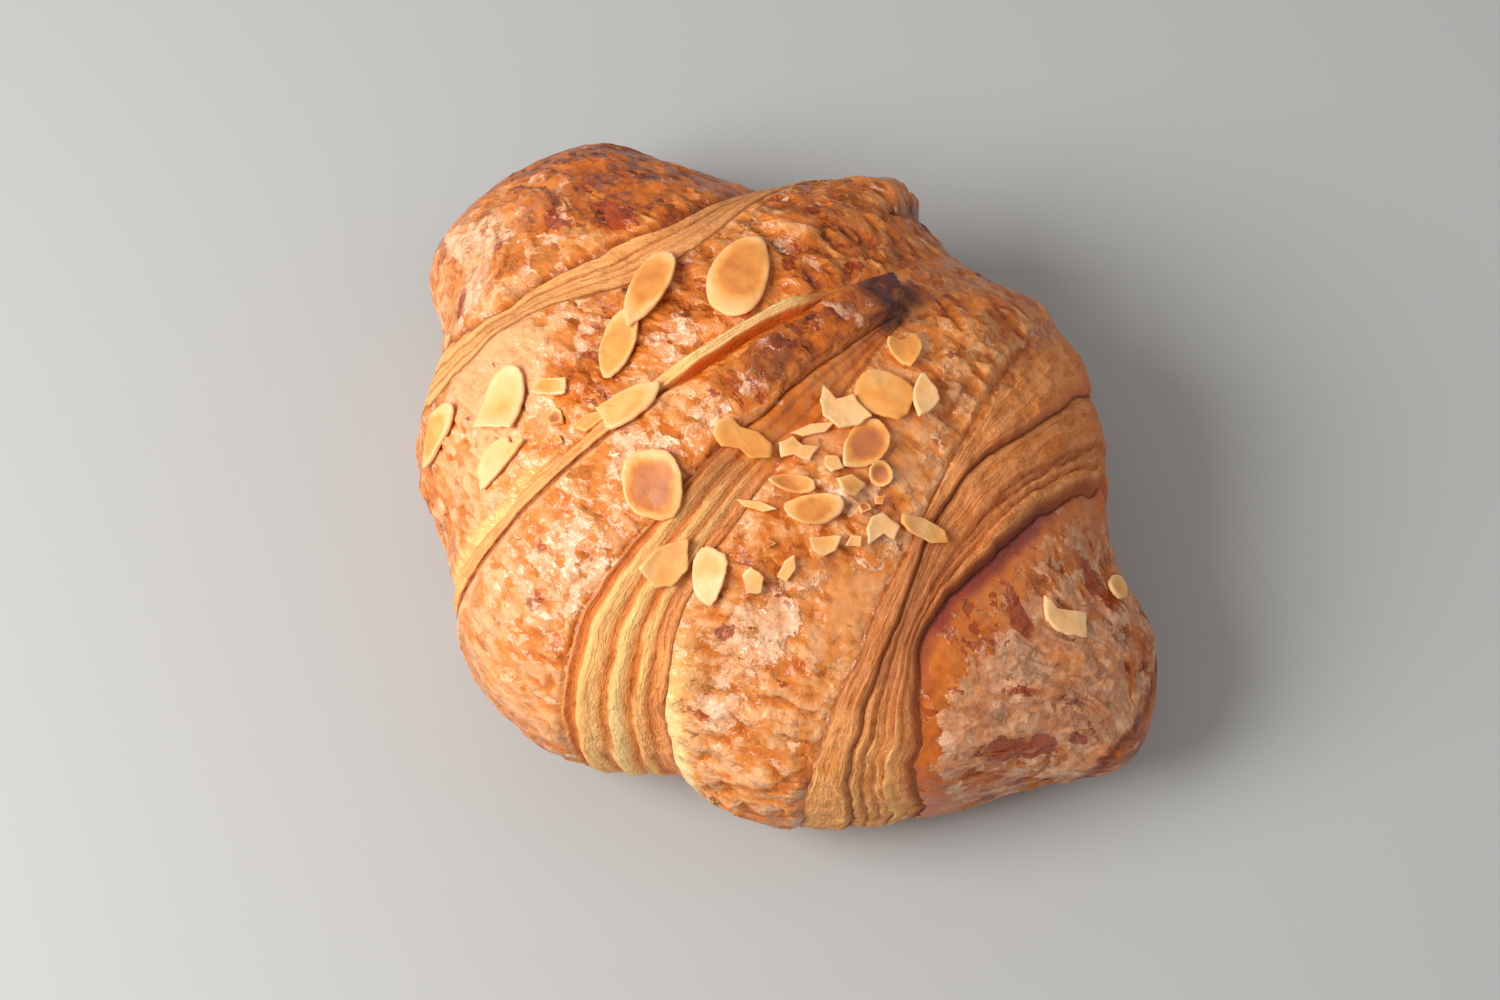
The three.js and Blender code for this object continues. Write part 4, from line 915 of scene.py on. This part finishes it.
def makeAlmond(node, crust, material, rng):
    almond = almonds[node]
    middle = sum(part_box(node), Vector()) / 2
    nearby = [middle + Vector((dx, dy, 0)) * mm for dx in (-2, 0, 2) for dy in (-2, 0, 2)]
    around = [crust.find_nearest(place)[1] for place in nearby]
    normal = sum(around, Vector()).normalized()
    alongX = Vector((1, 0, 0))
    alongX = (alongX - normal * alongX.dot(normal)).normalized()
    side = normal.cross(alongX)
    c, s = math.cos(math.radians(almond["turn"])), math.sin(math.radians(almond["turn"]))
    forward, across = alongX * c + side * s, side * c - alongX * s

    size = max(abs(v) for point in almond["rim"] for v in point)
    segments, rings = (80, 22) if size > 3 else (32, 12)
    bm = bmesh.new()
    bmesh.ops.create_uvsphere(bm, u_segments=segments, v_segments=rings, radius=1)
    ball = np.array([v.co[:] for v in bm.verts])
    flat = np.hypot(ball[:, 0], ball[:, 1])
    column = np.rint((np.arctan2(ball[:, 1], ball[:, 0]) % (2 * np.pi)) / (2 * np.pi) * segments).astype(int)
    rounding = almond.get("rounding", 0)
    rim = almondRim(segments, almond["rim"], rounding)
    place = rim[column % segments] * (flat**0.5)[:, None]
    a, b = place[:, 0], place[:, 1]
    seedPlace = np.stack([a, b, 0 * a], -1) + 31 * rng.random()
    chipped = 1.7 if rounding == 0 else 1.0
    ragged = chipped * (0.16 * wander(seedPlace, 1.3, 9) + 0.1 * wander(seedPlace, 0.6, 10))
    a, b = a * (1 + ragged * flat**6 / size), b * (1 + ragged * flat**6 / size)
    full = smooth(1.02, 0.7, flat**0.5)
    rise = np.sign(ball[:, 2]) * (1 - flat**8) ** 0.5 * resting["thickness"] / 2 * (1 - 0.16 * full)
    rise = rise + 0.07 * wander(seedPlace, 1.1, 5) + 0.22 * wander(seedPlace, 3.2, 6)
    reach = np.hypot(a, b) / size
    lean = rng.random() * 3
    bend = almond["curl"] * 1.5 * (reach * np.cos(np.arctan2(b, a) + lean)) ** 2
    low = []
    for pa, pb in zip(a, b):
        start = middle + (forward * pa + across * pb) * mm + normal * 0.006
        hit = crust.ray_cast(start, -normal, 0.02)[0]
        low.append((hit - middle).dot(normal) / mm if hit else -9.0)
    usual = np.percentile(low, resting["usual"])
    low = np.clip(low, usual - resting["below"], usual + resting["above"])
    terms = np.stack([1 + 0 * a, a, b, a * a, a * b, b * b], -1)
    settle = terms @ np.linalg.lstsq(terms, low, rcond=None)[0]
    settle = settle + np.percentile(low - settle, resting["highest"])
    tilt = 0.07 * (rng.random() - 0.5) * a + 0.1 * (rng.random() - 0.5) * b
    up = settle + resting["thickness"] / 2 + rise + bend + tilt + almond.get("lift", 0)
    for vertex, pa, pb, pu in zip(bm.verts, a, b, up):
        vertex.co = middle + (forward * pa + across * pb + normal * pu) * mm
    name = node.replace("_s", "S").replace("_h", "H").replace("_p", "P").replace("_c", "C").replace("_", "")
    piece = newPiece(name, bm, material)
    coreA, coreB = almond.get("core", (0, 0))
    inward = np.sqrt(flat) + 0.35 * ((a - coreA) ** 2 + (b - coreB) ** 2) ** 0.5 / size - 0.25
    addAttribute(piece.data, "rim", np.clip(inward, 0, 1.2) * almond.get("edge", 1.0))
    addAttribute(piece.data, "toast", np.full(len(a), almond["toast"]))
    tip = smooth(0.85, 1.0, a / size) * smooth(0.8, 0.95, flat) * (1.0 if node.endswith("slice_1") else 0.2)
    addAttribute(piece.data, "tip", tip)
    return piece


def almondMaterial():
    material, tree, shader = newMaterial("toastedAlmond")
    add, minus, times, mix, fit = shortNames(tree)
    place = addNode(tree, "ShaderNodeTexCoord").outputs["Object"]
    rim, toast, tip = attributes(tree, "rim toast tip")
    blotch = noise(tree, place, 260, 3, 0.5)
    fine = noise(tree, place, 1500, 3, 0.6)
    uneven = times(minus(blotch, 0.5), 1.1)
    centre = fit(add(rim, uneven), 0.42, 1.05, 1.0, 0.0)
    heat = times(toast, add(times(centre, 0.85), 0.12))
    heat = add(heat, times(minus(fine, 0.5), 0.16))
    heat = add(heat, times(minus(noise(tree, place, 130, 2, 0.5), 0.5), 0.7))
    heat = add(heat, times(uneven, 0.3), clamp=True)
    colour = ramp(tree, heat, [
        (0.0, (0.95, 0.56, 0.26)), (0.18, (0.93, 0.48, 0.17)), (0.40, (0.86, 0.35, 0.07)),
        (0.64, (0.66, 0.20, 0.045)), (1.0, (0.34, 0.10, 0.05)),
    ])
    colour = mix(tip, colour, (0.10, 0.035, 0.02, 1))
    tree.links.new(colour, shader.inputs["Base Color"])
    tree.links.new(fit(blotch, 0.3, 0.7, 0.36, 0.55), shader.inputs["Roughness"])
    height = add(times(blotch, 0.6), times(fine, 0.3))
    bump = addNode(tree, "ShaderNodeBump", {"Height": height, "Strength": 0.4, "Distance": 0.0004})
    tree.links.new(bump.outputs[0], shader.inputs["Normal"])
    return material


# the body, then the almonds on it
pastryBody = makeLoaf(crustMaterial())
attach(pastryBody, "root")
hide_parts("pastry_body")
print("pastry body:", len(pastryBody.data.polygons), "faces")

crustTree = BVHTree.FromPolygons(
    [v.co for v in pastryBody.data.vertices], [p.vertices for p in pastryBody.data.polygons]
)
almondSkin = almondMaterial()
rng = np.random.default_rng(5)
for node in almonds:
    piece = makeAlmond(node, crustTree, almondSkin, rng)
    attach(piece, "root")
    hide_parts(node)
print("almonds:", len(almonds))

# floor, lights and camera
studio = {
    "floorColour": (0.456, 0.463, 0.466, 1),
    "floorRoughness": 0.6,
    "keyLight": ((-0.29, -0.43, 0.51), 0.46, 6.1, (1.0, 0.985, 0.96)),
    "fillLight": ((0.45, 0.50, 0.50), 0.6, 0.5, (0.95, 0.97, 1.0)),
    "skyColour": (1, 0.97, 0.92, 1), "skyStrength": 0.40,
    "cameraPlace": (0.1228, -0.1488, 0.4992), "azimuth": 40, "elevation": 68, "lens": 70,
}


def addLight(name, place, size, power, colour):
    light = bpy.data.lights.new(name, "AREA")
    light.shape = "DISK"
    light.size = size
    light.energy = power
    light.color = colour
    lamp = bpy.data.objects.new(name, light)
    lamp.location = place
    lamp.rotation_euler = (Vector((0, 0, 0.03)) - Vector(place)).to_track_quat("-Z", "Y").to_euler()
    bpy.context.scene.collection.objects.link(lamp)


bm = bmesh.new()
bmesh.ops.create_grid(bm, x_segments=2, y_segments=2, size=1.5)
floorMaterial, _, floorShader = newMaterial("paleFloor")
floorShader.inputs["Base Color"].default_value = studio["floorColour"]
floorShader.inputs["Roughness"].default_value = studio["floorRoughness"]
floor = newPiece("floor", bm, floorMaterial)

for name in ("keyLight", "fillLight"):
    addLight(name, *studio[name])
world = bpy.data.worlds.new("softSky")
world.use_nodes = True
world.node_tree.nodes["Background"].inputs[0].default_value = studio["skyColour"]
world.node_tree.nodes["Background"].inputs[1].default_value = studio["skyStrength"]
bpy.context.scene.world = world
bpy.context.scene.view_settings.view_transform = "Standard"

azimuth, elevation = math.radians(studio["azimuth"]), math.radians(studio["elevation"])
outward = math.cos(elevation)
back = Vector((math.sin(azimuth) * outward, -math.cos(azimuth) * outward, math.sin(elevation)))
camera = bpy.data.objects.new("camera", bpy.data.cameras.new("camera"))
camera.data.lens = studio["lens"]
camera.data.sensor_width = 36
camera.data.clip_start = 0.01
camera.location = studio["cameraPlace"]
camera.rotation_mode = "QUATERNION"
camera.rotation_quaternion = (-back).to_track_quat("-Z", "Y")
bpy.context.scene.collection.objects.link(camera)
bpy.context.scene.camera = camera
